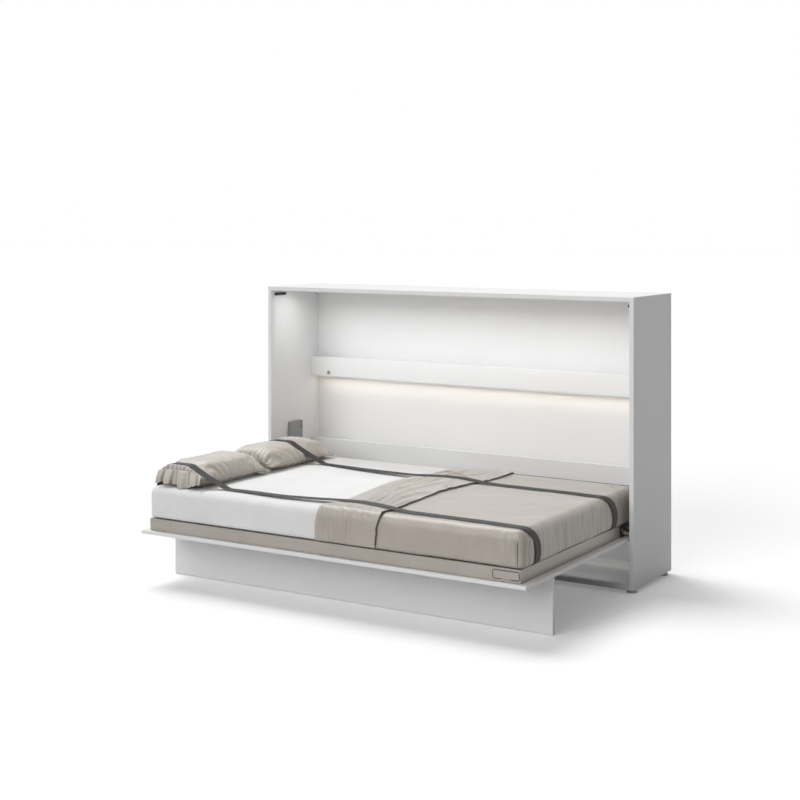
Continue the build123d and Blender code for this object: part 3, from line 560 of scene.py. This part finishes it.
def piping_along(name, route, radius, slot, finish=None, closed=False):
    """A round piping sewn into a seam, along a route of points."""
    curve = bpy.data.curves.new(name, "CURVE")
    curve.dimensions = "3D"
    curve.bevel_depth = radius
    curve.bevel_resolution = 2
    line = curve.splines.new("POLY")
    line.points.add(len(route) - 1)
    for point, place in zip(line.points, route):
        point.co = (*place, 1)
    line.use_cyclic_u = closed
    curve.materials.append(finishes[finish or slot])
    piece = bpy.data.objects.new(name, curve)
    bpy.context.scene.collection.objects.link(piece)
    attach(piece, "bed")


# Mattress in its fitted sheet ----------------------------------------------------------------

SHEET_RIPPLES = (((16, 16, 3.2), 0.0, 0.0022), ((41, 41, 7), 5.1, 0.0010))
SHEET_SLACK = (((3.1, 3.1, 3.1), 9.7, 0.0018),)
SHEET_CORNERS = (((60, 60, 4), 3.3, 0.002),)
SHEET_STEP = 0.010
SHEET_SINK = 0.002
SHEET_CORNER = 0.068
SMOOTH_BELOW = 0.33


def make_mattress():
    """The white fitted sheet over the mattress, with slack ripples down its sides."""
    points, outward, cells = softened_block(MATTRESS_LOW, MATTRESS_HIGH, SHEET_STEP, EDGE_PLAN, EDGE_TOP,
                                            EDGE_BASE)
    side = 1 - np.abs(outward[:, 2])
    ruffled = side * waves(points, SHEET_RIPPLES) + waves(points, SHEET_SLACK)
    height = np.where(points[:, 2] < SMOOTH_BELOW, 0, ruffled)
    height -= SHEET_SINK * (1 - side)
    half = (MATTRESS_HIGH - MATTRESS_LOW) / 2
    off = np.abs(points - MATTRESS_LOW - half)
    near = [smooth_step(off[:, axis], half[axis] - SHEET_CORNER, half[axis]) for axis in range(2)]
    height += near[0] * near[1] * side * waves(points, SHEET_CORNERS)
    skin = within_swing(points + outward * height[:, None])
    mattress = add_piece("mattress_sheet", skin, cells, "sheet_cotton")
    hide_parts("mattress")


# Duvet, its turned-back end and its hem ------------------------------------------------------

DUVET_LOW = MATTRESS_LOW - (DUVET_THICK, DUVET_THICK, 0)
DUVET_HIGH = MATTRESS_HIGH + (DUVET_THICK, DUVET_THICK, DUVET_THICK)
DUVET_STEP = 0.008
DUVET_START_X = 0.06
DUVET_SWELLS = (((4.2, 4.2, 4.2), 2.2, 0.0022), ((11, 11, 9), 7.7, 0.0010))
DUVET_FRONT_WAVES = (((13, 1, 9), 6.3, 0.0018),)
DUVET_END_WRINKLES = (((46, 5, 1), 1.1, 0.0026), ((90, 8, 1), 4.1, 0.0016))
HEM_LEVEL = 0.326
REAR_HEM_X = (0.356, 0.982)
REAR_HEM_PLACE = (0.434, 0.4742)
CORNER_SEAM_Z = (0.329, 0.425)
CORNER_SEAM_RADIUS, REAR_HEM_RADIUS, FREE_HEM_RADIUS = 0.0012, 0.0020, 0.0024


def strap_way(strap_y, x, z):
    """Where a strap's middle lies in Y at places across the bed."""
    span = 15
    run = x + np.where(x > 0.9, np.clip(SHEET_LEVEL - z, 0, None), 0)
    even = np.arange(-1.19, 1.29, 0.005)
    course = np.interp(even, *np.array(STRAP_WAYS[strap_y]).T)
    soft = np.hanning(span) / np.hanning(span).sum()
    eased = np.convolve(np.pad(course, span // 2, mode="edge"), soft, mode="valid")
    return np.interp(run, even, eased)


def strap_press(points, depth):
    """How far the straps press the cloth down at each point."""
    pressed = np.zeros(len(points))
    for strap_y in STRAP_WAYS:
        gap = np.abs(points[:, 1] - strap_way(strap_y, points[:, 0], points[:, 2]))
        pressed += depth * (1 - smooth_step(gap, STRAP_WIDE * 0.45, STRAP_WIDE * 0.95))
    return pressed


def corner_gathers(points, corner_y):
    """Gathers that fan out round one right-hand corner of the duvet, and how near each point is to it."""
    gap = np.stack([points[:, 0] - 0.962, points[:, 1] - corner_y], axis=1)
    ring = np.exp(-((np.linalg.norm(gap, axis=1) - 0.05) / 0.05) ** 2)
    near = ring * smooth_step(points[:, 2], 0.33, 0.44)
    return np.sin(np.arctan2(gap[:, 1], gap[:, 0]) * 17 + points[:, 2] * 30), near


def make_duvet_body():
    """The satin duvet, tight over the right end, with fine drawn creases down its sides."""
    points, outward, cells = softened_block(DUVET_LOW, DUVET_HIGH, DUVET_STEP, DUVET_PLAN,
                                            EDGE_TOP + DUVET_THICK, EDGE_BASE)
    middle = points[cells].mean(axis=1)
    used, cells = keep_cells(cells, (middle[:, 0] > DUVET_START_X) & (middle[:, 2] > HEM_LEVEL - 0.004))
    points, outward = points[used], outward[used]
    side = 1 - np.abs(outward[:, 2])
    flat = np.stack([points[:, 0] + points[:, 1], points[:, 2], points[:, 1]], axis=1)
    height = waves(points, DUVET_SWELLS)
    end_side = smooth_step(points[:, 0], 0.93, 0.99) * side
    wrinkle = waves(flat, DUVET_END_WRINKLES)
    height += end_side * wrinkle
    # Painted shade in the hollows of the wrinkles down the right end
    shade = end_side * np.clip(-wrinkle / 0.0026, 0, 1) * 0.55
    front_side = smooth_step(-points[:, 1], 0.70, 0.74) * side
    height += front_side * waves(points, DUVET_FRONT_WAVES)
    for corner_y in (DUVET_LOW[1] + DUVET_PLAN, DUVET_HIGH[1] - DUVET_PLAN):
        radial, near = corner_gathers(points, corner_y)
        height += near * radial * 0.0014
        # Painted shade in the hollows of the corner gathers
        shade += near * np.clip(-radial, 0, 1) * 0.25
    height -= strap_press(points, 0.0022) * (1 - 0.4 * side)
    height -= 0.0008
    skin = within_swing(points + outward * height[:, None])
    duvet = add_piece("duvet_cover", skin, cells, "duvet_satin", shade)
    thicken(duvet, 0.0035)
    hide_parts("duvet")


def sew_duvet_hems():
    """The piping down the duvet's two right-hand corners and along its rear hem, in the hem finish that also
    paints the hems' shadow.
    """
    seam_x = DUVET_HIGH[0] - DUVET_PLAN * 0.64 + 0.0002
    for corner_y, way, name in ((DUVET_LOW[1], 1, "front"), (DUVET_HIGH[1], -1, "rear")):
        seam_y = corner_y + way * DUVET_PLAN * 0.067
        route = [(seam_x, seam_y, z) for z in np.linspace(*CORNER_SEAM_Z, 12)]
        piping_along(f"duvet_corner_seam_{name}", route, CORNER_SEAM_RADIUS, "duvet_satin", "hem_satin_painted_shadow")
    rear_route = [(x, *REAR_HEM_PLACE) for x in np.linspace(*REAR_HEM_X, 60)]
    piping_along("duvet_rear_hem", rear_route, REAR_HEM_RADIUS, "duvet_satin", "hem_satin_painted_shadow")


# The turned-back end: its fold on the left and its free edge on the right, as arc place and x
FOLD_LINE = ((-0.90, -0.030), (-0.80, -0.028), (-0.72, -0.012), (-0.655, 0.010), (-0.56, 0.020),
             (-0.47, 0.008), (-0.36, -0.012), (-0.10, -0.046), (0.10, -0.026), (0.21, 0.004), (0.32, 0.020),
             (0.60, 0.020))
FREE_LINE = ((-0.90, 0.292), (-0.80, 0.296), (-0.745, 0.312), (-0.66, 0.321), (-0.56, 0.319),
             (-0.387, 0.305), (-0.182, 0.287), (0.0, 0.305), (0.133, 0.324), (0.21, 0.342), (0.34, 0.352),
             (0.60, 0.340))
# Its folds: each one's route as x and arc place, its height and how far it spreads
CREASES = (
    (((0.118, -0.60), (0.112, -0.50), (0.070, -0.36), (0.034, -0.20), (0.020, -0.04), (0.018, 0.10)),
     0.0066, 0.014),
    (((0.155, -0.60), (0.164, -0.55), (0.140, -0.42), (0.085, -0.23), (0.089, -0.10), (0.080, 0.12)),
     0.0070, 0.013),
    (((0.200, -0.62), (0.205, -0.55), (0.160, -0.38), (0.148, -0.25), (0.161, -0.11), (0.190, 0.10)),
     0.0074, 0.015),
    (((0.240, -0.64), (0.250, -0.58), (0.215, -0.43), (0.222, -0.30), (0.270, -0.20)), 0.0072, 0.012),
    (((0.285, -0.65), (0.294, -0.60), (0.280, -0.48), (0.290, -0.35)), 0.0056, 0.010),
    (((0.050, 0.14), (0.045, 0.05), (0.060, -0.06)), 0.0056, 0.010),
    (((0.120, 0.15), (0.115, 0.05), (0.128, -0.08)), 0.0060, 0.011),
    (((0.165, 0.15), (0.205, 0.05), (0.250, -0.05), (0.295, -0.10)), 0.0064, 0.012),
    (((0.020, 0.22), (0.050, 0.30), (0.163, 0.26), (0.270, 0.19)), 0.0066, 0.012),
    (((0.080, 0.19), (0.120, 0.30), (0.105, 0.42)), 0.0050, 0.011),
    (((0.170, 0.19), (0.220, 0.28), (0.240, 0.40)), 0.0045, 0.011),
    (((0.010, -0.72), (0.050, -0.66)), 0.0045, 0.010),
    (((0.115, -0.75), (0.120, -0.65)), 0.0045, 0.009),
    (((0.175, -0.76), (0.160, -0.66)), 0.0040, 0.010),
    (((0.240, -0.76), (0.215, -0.67)), 0.0040, 0.010),
)
FLAP_BEND = 0.060
FLAP_FRONT, FLAP_REAR = MATTRESS_LOW[1] + EDGE_PLAN, MATTRESS_HIGH[1] - EDGE_PLAN
FLAP_ROWS, FLAP_COLUMNS = 230, 74
# The least and the most that it stands off the mattress
FLAP_LEAST, FLAP_MOST = 0.0095, 0.0185
FLAP_WAVES = (((24, 10, 1), 4.4, 0.0007), ((9, 6, 1), 1.4, 0.0026))
PLEAT_PITCH = 0.021
PLEAT_HEIGHT = 0.0020


def section_place(arc):
    """A place on the mattress's cross-section: the arc is Y on the flat top and goes on down the sides."""
    y = np.clip(arc, FLAP_FRONT, FLAP_REAR)
    z = np.full_like(y, SHEET_LEVEL)
    out_y, out_z = np.zeros_like(y), np.ones_like(y)
    for edge, sign in ((FLAP_FRONT, -1), (FLAP_REAR, 1)):
        past = sign * (arc - edge)
        turned = past > 0
        angle = np.clip(past / FLAP_BEND, 0, 1) * pi / 2
        below = np.clip(past - FLAP_BEND, 0, None)
        y = np.where(turned, edge + sign * np.sin(angle) * EDGE_PLAN, y)
        z = np.where(turned, SHEET_LEVEL - EDGE_TOP + np.cos(angle) * EDGE_TOP - below, z)
        out_y = np.where(turned, sign * np.sin(angle), out_y)
        out_z = np.where(turned, np.cos(angle), out_z)
    return y, z, out_y, out_z


def flap_layout():
    """The turned-back end laid out flat: each point's x and arc place, and its share from the fold."""
    drop = SHEET_LEVEL - EDGE_TOP - HEM_LEVEL + 0.002
    arc = np.linspace(FLAP_FRONT - FLAP_BEND - drop, FLAP_REAR + FLAP_BEND + drop, FLAP_ROWS)
    share = np.linspace(0, 1, FLAP_COLUMNS)
    fold_x = np.interp(arc, *np.array(FOLD_LINE).T)
    free_x = np.interp(arc, *np.array(FREE_LINE).T)
    wobble = np.array([noise.noise(Vector((place * 23, 3.1, 0))) for place in arc]) * 0.008
    wobble += np.array([noise.noise(Vector((place * 60, 8.1, 0))) for place in arc]) * 0.006
    x = fold_x[:, None] + (free_x + wobble - fold_x)[:, None] * share[None, :]
    return np.stack([x.ravel(), np.repeat(arc, FLAP_COLUMNS)], axis=1), np.tile(share, FLAP_ROWS)


def flap_folds(flat):
    """The height of the folds drawn over the turned-back end."""
    height = np.zeros(len(flat))
    for route, tall, wide in CREASES:
        gap, along = near_route(flat, route)
        swell = np.sin(np.clip(along, 0.02, 0.98) * pi) ** 0.5
        height = np.maximum(height, tall * swell * np.exp(-(gap / wide) ** 1.5))
    return height


def flap_pleats(flat, spread):
    """Fine pleats, from about -1 to 1, that fan out down the turned-back end's front."""
    drop = smooth_step(-flat[:, 1], 0.70, 0.76)
    pleated = drop * (1 - smooth_step(flat[:, 0], 0.14, 0.26))
    fan = flat[:, 0] + (flat[:, 1] + 0.66) * (flat[:, 0] - 0.10) * 0.9
    pleats = np.sin(fan * 2 * pi / PLEAT_PITCH + flow(spread, (26, 10, 1), 8.8) * 4.2)
    return pleated * pleats * (0.55 + 0.45 * flow(spread, (34, 14, 1), 2.7))


def flap_painted_shade(field, arc):
    """The painted shade in the hollows between folds, darkest where the folds gather by the straps."""
    field = field.reshape(FLAP_ROWS, FLAP_COLUMNS)
    around = np.pad(field, 2, mode="edge")
    mean = sum(around[2 + i:2 + i + FLAP_ROWS, 2 + j:2 + j + FLAP_COLUMNS]
               for i in (-2, 0, 2) for j in (-2, 0, 2)) / 9
    shade_weight = 0.30 + 0.70 * np.exp(-((arc + 0.52) / 0.16) ** 2) + 0.35 * np.exp(-((arc - 0.16) / 0.10) ** 2)
    return np.clip((mean - field) / 0.0010, 0, 1).ravel() * np.clip(shade_weight, 0, 1)


def make_duvet_flap():
    """The duvet's left end, turned back over itself, creased where the straps hold it."""
    flat, share = flap_layout()
    spread = np.stack([flat[:, 0], flat[:, 1], np.zeros(len(flat))], axis=1)
    folds = flap_folds(flat)
    pleats = flap_pleats(flat, spread)
    height = folds + waves(spread, FLAP_WAVES) + pleats * PLEAT_HEIGHT
    folds = folds + pleats * PLEAT_HEIGHT / 5
    pressed = np.zeros(len(flat))
    for strap_y in STRAP_WAYS:
        gap = np.abs(flat[:, 1] - strap_way(strap_y, flat[:, 0], 0.48))
        pressed = np.maximum(pressed, 1 - smooth_step(gap, STRAP_WIDE * 0.45, STRAP_WIDE * 0.9))
    height = height * (1 - 0.85 * pressed) - 0.001 * pressed
    proud = 2 * DUVET_THICK - 0.001 + height
    proud += np.exp(-((1 - share) / 0.035) ** 2) * 0.0018 * (1 - pressed)
    proud = np.clip(proud, FLAP_LEAST, FLAP_MOST)
    turn = np.clip(1 - share / 0.045, 0, 1)
    proud -= (proud - 0.003) * (1 - np.sqrt(np.clip(1 - turn ** 2, 0, 1)))
    y, z, out_y, out_z = section_place(flat[:, 1])
    points = within_swing(np.stack([flat[:, 0], y + out_y * proud, z + out_z * proud], axis=1))
    # Painted shade in the hollows between the folds and pleats
    shade = flap_painted_shade(folds + 0.12 * height, flat[:, 1])
    flap = add_piece("duvet_turned_back", points, grid_cells(FLAP_ROWS, FLAP_COLUMNS), "duvet_satin", shade)
    thicken(flap, 0.0030)
    edge = points.reshape(FLAP_ROWS, FLAP_COLUMNS, 3)[:, -1] + (0.0012, 0, -0.001)
    # The free hem's piping is dark: its own colour and painted shadow under the turned edge
    piping_along("duvet_free_hem", edge[2:-2], FREE_HEM_RADIUS, "duvet_satin", "hem_satin_painted_shadow")


# Pillows -------------------------------------------------------------------------------------

PILLOW_ROWS, PILLOW_COLUMNS = 72, 42
PILLOW_RISE, PILLOW_SINK = 0.078, 0.036
PILLOW_CREASES = (((26, 12, 26), 6.6, 0.0018), ((9, 7, 9), 3.9, 0.0035), ((64, 40, 64), 1.2, 0.0013))
PILLOW_LOWEST, PILLOW_HIGHEST = 0.0015, 0.1165
PLUMP_PRESSURE, PLUMP_SLACK, PLUMP_STEPS, PLUMP_REACH = 2.6, 0.07, 18, 0.010
# How far each pillow's near end is lifted; only a lifted end is drawn in
FRONT_END_RISE, REAR_END_RISE = 0.048, 0.0


def pillow_skin(start_y, long):
    """Two layers sewn together all round, full in the middle, with drawn-in sides and four ears."""
    b, a = np.meshgrid(np.linspace(-1, 1, PILLOW_ROWS), np.linspace(-1, 1, PILLOW_COLUMNS), indexing="ij")
    a, b = a.ravel(), b.ravel()
    x = PILLOW_HALF * a * (1 - 0.050 * (1 - b ** 2))
    y = long / 2 * b * (1 - 0.030 * (1 - a ** 2))
    across = np.where(a > 0, 1 - np.abs(a) ** 2.5, 1 - a ** 4)
    full = np.clip(across * (1 - b ** 6), 0, 1) ** np.where(a > 0, 0.66, 0.52)
    top = np.stack([x, y, PILLOW_RISE * full], axis=1)
    base = np.stack([x, y, -PILLOW_SINK * full], axis=1)
    inside = (np.abs(a) < 1) & (np.abs(b) < 1)
    number = np.arange(len(a))
    under = np.where(inside, len(a) + np.cumsum(inside) - 1, number)
    cells = grid_cells(PILLOW_ROWS, PILLOW_COLUMNS)
    points = np.concatenate([top, base[inside]])
    points[:, 1] += start_y + long / 2
    points[:, 0] += PILLOW_MID_X
    lower = under[cells][:, ::-1]
    return points, np.concatenate([cells, lower]), (a, b, inside)


def plump(points, cells, pinned):
    """Blows the sewn cloth up as loose fabric and gives back where its points come to rest."""
    mesh = bpy.data.meshes.new("plump_trial")
    mesh.from_pydata(points.tolist(), [], cells.tolist())
    trial = bpy.data.objects.new("plump_trial", mesh)
    bpy.context.scene.collection.objects.link(trial)
    held = trial.vertex_groups.new(name="seam")
    for number in np.flatnonzero(pinned > 0):
        held.add([int(number)], float(pinned[number]), "REPLACE")
    cloth = trial.modifiers.new("plump_trial", "CLOTH")
    settings = cloth.settings
    settings.quality = 6
    settings.mass = 0.2
    settings.tension_stiffness = 18
    settings.compression_stiffness = 18
    settings.shear_stiffness = 6
    settings.bending_stiffness = 0.08
    settings.use_pressure = True
    settings.uniform_pressure_force = PLUMP_PRESSURE
    settings.shrink_min = -PLUMP_SLACK
    settings.vertex_group_mass = "seam"
    settings.pin_stiffness = 1.0
    settings.effector_weights.gravity = 0
    cloth.collision_settings.use_collision = False
    cloth.collision_settings.use_self_collision = False
    scene = bpy.context.scene
    cloth.point_cache.frame_start, cloth.point_cache.frame_end = 1, PLUMP_STEPS
    for step in range(1, PLUMP_STEPS + 1):
        scene.frame_set(step)
    still = trial.evaluated_get(bpy.context.evaluated_depsgraph_get()).data
    rested = np.zeros(len(still.vertices) * 3, np.float32)
    still.vertices.foreach_get("co", rested)
    rested = rested.reshape(-1, 3).astype(float)
    scene.frame_set(1)
    bpy.data.objects.remove(trial)
    return rested


def blown_up(points, cells, seam):
    """The sewn skin after its cloth has blown up, no point further from its start than the reach."""
    move = plump(points, cells, seam) - points
    far = np.linalg.norm(move, axis=1)
    return points + move * (np.minimum(far, PLUMP_REACH) / np.maximum(far, 1e-9))[:, None]


def pillow_gathers(shaped, a, b):
    """The height of a case's seam puckers, end gathers and creases, and the painted shade in the gathers'
    hollows and along the seam.
    """
    edge = np.minimum(1 - np.abs(a), 1 - np.abs(b))
    seam = np.exp(-edge / 0.10)
    pucker = seam * np.sin((b - a) * 42 + flow(shaped, (12, 12, 12), 5.5) * 3) * 0.0035
    near = np.exp(-((1 + b) / 0.20) ** 2) + 0.45 * np.exp(-((1 - b) / 0.14) ** 2)
    wave = np.sin(a * 34 + flow(shaped, (14, 20, 14), 2.5) * 2.8)
    # Painted shade: darker in the hollows of the end gathers and along the seam
    shade = near * np.clip(-wave, 0, 1) * 0.7 + seam * 0.25
    return pucker + near * wave * 0.0058 + waves(shaped, PILLOW_CREASES), shade


def eased_between(values, low, high, soft):
    """Values held between two limits, without a hard edge at either."""
    values = low + np.logaddexp(0, (values - low) / soft) * soft
    return high - np.logaddexp(0, (high - values) / soft) * soft


def make_pillow(name, start_y, long, strap_y, end_rise):
    """A satin pillow: sewn, blown up as cloth, set on the sheet and pressed by its strap."""
    points, cells, (a, b, inside) = pillow_skin(start_y, long)
    count = len(a)
    seam = np.zeros(len(points))
    seam[:count] = np.where(inside, 0, 1.0)
    shaped = blown_up(points, cells, seam)
    a, b = np.concatenate([a, a[inside]]), np.concatenate([b, b[inside]])
    upper = np.arange(len(a)) < count
    loose = (np.abs(a) < 1) & (np.abs(b) < 1)
    height, shade = pillow_gathers(shaped, a, b)
    shaped[:, 2] += np.where(upper, 1, -1) * height * loose
    rise = end_rise * (1 - 0.3 * np.clip(a, 0, 1) ** 3)
    shaped[:, 2] += rise * np.exp(-((1 + b) / np.where(upper, 0.30, 0.05)) ** 2)
    drawn_in = np.exp(-((1 + b) / 0.25) ** 2) * (end_rise > 0)
    shaped[:, 0] += drawn_in * (0.012 - 0.12 * (shaped[:, 0] - PILLOW_MID_X))
    shaped[:, 2] += 0.030 - 0.017 * np.exp(-((1 - b) / 0.30) ** 2)
    shaped[:, 2] = eased_between(shaped[:, 2], PILLOW_LOWEST, PILLOW_HIGHEST, 0.004)
    gap = np.abs(shaped[:, 1] - strap_way(strap_y, shaped[:, 0], SHEET_LEVEL))
    press = 1 - smooth_step(gap, STRAP_WIDE * 0.46, STRAP_WIDE * 1.5)
    ceiling = strap_height(shaped[:, 0], strap_y) - SHEET_LEVEL - 0.0022
    shaped[:, 2] -= np.maximum(shaped[:, 2] - ceiling, 0) * press
    shaped[:, 2] += SHEET_LEVEL + 0.0005
    shaped = within_swing(shaped)
    pillow = add_piece(f"{name}_case", shaped, cells, "pillow_satin", shade)
    soften = pillow.modifiers.new("pillow_smooth", "SUBSURF")
    soften.levels = soften.render_levels = 1
    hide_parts(name)
    top = shaped[:count].reshape(PILLOW_ROWS, PILLOW_COLUMNS, 3)
    rim = np.concatenate([top[0, :], top[1:, -1], top[-1, -2::-1], top[-2:0:-1, 0]])
    piping_along(f"{name}_piping", rim, 0.0016, "pillow_satin", closed=True)
    return top[0, :]


# The frill's free edge, as X and Z
FRILL_EDGE = ((-1.000, 0.482), (-0.960, 0.485), (-0.900, 0.487), (-0.860, 0.482), (-0.815, 0.467),
              (-0.780, 0.474), (-0.735, 0.490), (-0.690, 0.504))
FRILL_PLEATS = 4.3


def make_pillow_frill(seam):
    """The gathered frill sewn to the front pillow's near end, hanging over the mattress edge."""
    rows, columns = 22, 170
    share = np.linspace(0, 1, columns)
    places = np.linspace(0, 1, len(seam))
    start = np.stack([np.interp(share, places, seam[:, axis]) for axis in range(3)], axis=1)
    low = np.interp(start[:, 0], *np.array(FRILL_EDGE).T)
    pleat = np.sin(share * 2 * pi * FRILL_PLEATS + 1.5 * np.sin(share * 6.5)) * 0.6
    pleat += 0.35 * np.sin(share * 2 * pi * 10.5 + 1.2)
    drop = np.maximum(start[:, 2] - low, 0.004) + 0.004 * pleat
    rings = []
    for down in np.linspace(0, 1, rows):
        out = 0.010 * np.sin(down * pi / 2) + 0.013 * down ** 0.8 * (pleat + 0.2)
        sway = 0.006 * down * np.cos(share * 2 * pi * FRILL_PLEATS)
        x = start[:, 0] + (share - 0.62) * 0.016 * down + sway
        rings.append(np.stack([x, start[:, 1] - out, start[:, 2] - drop * down], axis=1))
    # Painted shade in the hollows of the frill's pleats
    shade = np.tile(np.clip(-pleat, 0, 1) * 0.8, rows)
    points = within_swing(np.concatenate(rings))
    frill = add_piece("pillow_front_frill", points, grid_cells(rows, columns), "pillow_satin", shade)
    thicken(frill, 0.0016)


# Straps --------------------------------------------------------------------------------------

STRAP_STEP = 0.006
STRAP_CLEAR = 0.0003
STRAP_UNDER = 0.318
# Over the pillow: the strap's height, and how far right of the pillow's middle it meets the sheet
STRAP_CROWNS = {STRAP_FRONT_Y: (0.5740, 0.236), STRAP_REAR_Y: (0.5823, 0.216)}
STRAP_RADII = (0.0133, 0.030, 0.030, 0.060, 0.060, 0.060, 0.400, 0.400, 0.400, 0.0473, 0.0193)
# The webbing's section, as shares of its width and thickness, with thicker sewn edges
STRAP_SECTION = ((-0.5, 0.0), (-0.47, 0.5), (-0.40, 0.42), (-0.2, 0.34), (0.0, 0.32), (0.2, 0.34),
                 (0.40, 0.42), (0.47, 0.5), (0.5, 0.0), (0.47, -0.45), (0.0, -0.40), (-0.47, -0.45))


def rounded_route(points, radii, step):
    """Even points along straight runs whose corners are rounded."""
    points = [np.array(point, float) for point in points]
    pieces = [points[0]]
    for before, corner, after, radius in zip(points, points[1:], points[2:], radii):
        way_in = (corner - before) / np.linalg.norm(corner - before)
        way_out = (after - corner) / np.linalg.norm(after - corner)
        turn = np.arccos(np.clip(way_in @ way_out, -1, 1))
        cut = radius * np.tan(turn / 2)
        first, last = corner - way_in * cut, corner + way_out * cut
        for share in np.linspace(0, 1, max(3, int(turn * radius / step))):
            left = first + (corner - first) * share
            right = corner + (last - corner) * share
            pieces.append(left + (right - left) * share)
    pieces.append(points[-1])
    pieces = np.array(pieces)
    run = np.concatenate([[0], np.cumsum(np.linalg.norm(np.diff(pieces, axis=0), axis=1))])
    even = np.arange(0, run[-1], step)
    return np.stack([np.interp(even, run, pieces[:, axis]) for axis in range(2)], axis=1)


def strap_line(strap_y):
    """A strap's middle line across the bedding, as X and Z."""
    crown, foot = STRAP_CROWNS[strap_y]
    half = STRAP_THICK / 2 + STRAP_CLEAR
    left, right = MATTRESS_LOW[0] - half, MATTRESS_HIGH[0] + DUVET_THICK + half
    under = STRAP_UNDER - half
    sheet = SHEET_LEVEL + half
    points = [
        (left + 0.060, under), (left, under), (left, SHEET_LEVEL - 0.006),
        (left + 0.026, SHEET_LEVEL + 0.054), (PILLOW_MID_X - 0.078, crown), (PILLOW_MID_X + 0.040, crown),
        (PILLOW_MID_X + foot, sheet), (0.005, sheet + 2 * DUVET_THICK), (0.315, sheet + 2 * DUVET_THICK),
        (0.405, sheet + DUVET_THICK), (right, sheet + DUVET_THICK), (right, under), (right - 0.060, under),
    ]
    return rounded_route(points, STRAP_RADII, STRAP_STEP)


def strap_height(x, strap_y):
    """The height of a strap's middle line over places on the bed."""
    line = strap_line(strap_y)
    upper = line[line[:, 1] > SHEET_LEVEL - 0.02]
    order = np.argsort(upper[:, 0])
    return np.interp(x, upper[order, 0], upper[order, 1])


def make_strap(name, strap_y):
    """A flat webbing band with thicker sewn edges, drawn tight over the bedding."""
    line = strap_line(strap_y)
    ahead = np.gradient(line, axis=0)
    ahead /= np.linalg.norm(ahead, axis=1)[:, None]
    outward = np.stack([-ahead[:, 1], ahead[:, 0]], axis=1)
    way = strap_way(strap_y, line[:, 0], line[:, 1])
    rings = []
    for share_wide, share_thick in STRAP_SECTION:
        lift = outward * (share_thick * STRAP_THICK)
        rings.append(np.stack([line[:, 0] + lift[:, 0], way + share_wide * STRAP_WIDE,
                               line[:, 1] + lift[:, 1]], axis=1))
    points = np.stack(rings, axis=1).reshape(-1, 3)
    around, last, cells = len(STRAP_SECTION), len(line) - 1, []
    for ring in range(last):
        for side in range(around):
            near, far = ring * around + side, ring * around + (side + 1) % around
            cells.append((near, far, far + around, near + around))
    cells.append(tuple(range(around))[::-1])
    cells.append(tuple(last * around + side for side in range(around)))
    strap = add_piece(f"{name}_band", points, cells, "strap_webbing")
    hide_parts(name)


# Making the scene ----------------------------------------------------------------------------

place_camera()
light_studio()
lay_floor()
finishes = make_finishes()
OWN_FINISHES = {"corner_plate_right": "corner_plate_steel", "led_switch": "grey_steel"}
for subpart in frame["record"]["subparts"]:
    node = frame["nodes"][subpart["node"]]
    node.data.materials.clear()
    node.data.materials.append(finishes[OWN_FINISHES.get(subpart["node"], subpart["material_slot"])])

make_mattress()
make_duvet_body()
sew_duvet_hems()
make_duvet_flap()
make_pillow_frill(make_pillow("pillow_front", -0.7060, 0.536, STRAP_FRONT_Y, FRONT_END_RISE))
make_pillow("pillow_rear", -0.1605, 0.566, STRAP_REAR_Y, REAR_END_RISE)
make_strap("strap_front", STRAP_FRONT_Y)
make_strap("strap_rear", STRAP_REAR_Y)

bpy.context.scene.view_settings.view_transform = "Standard"
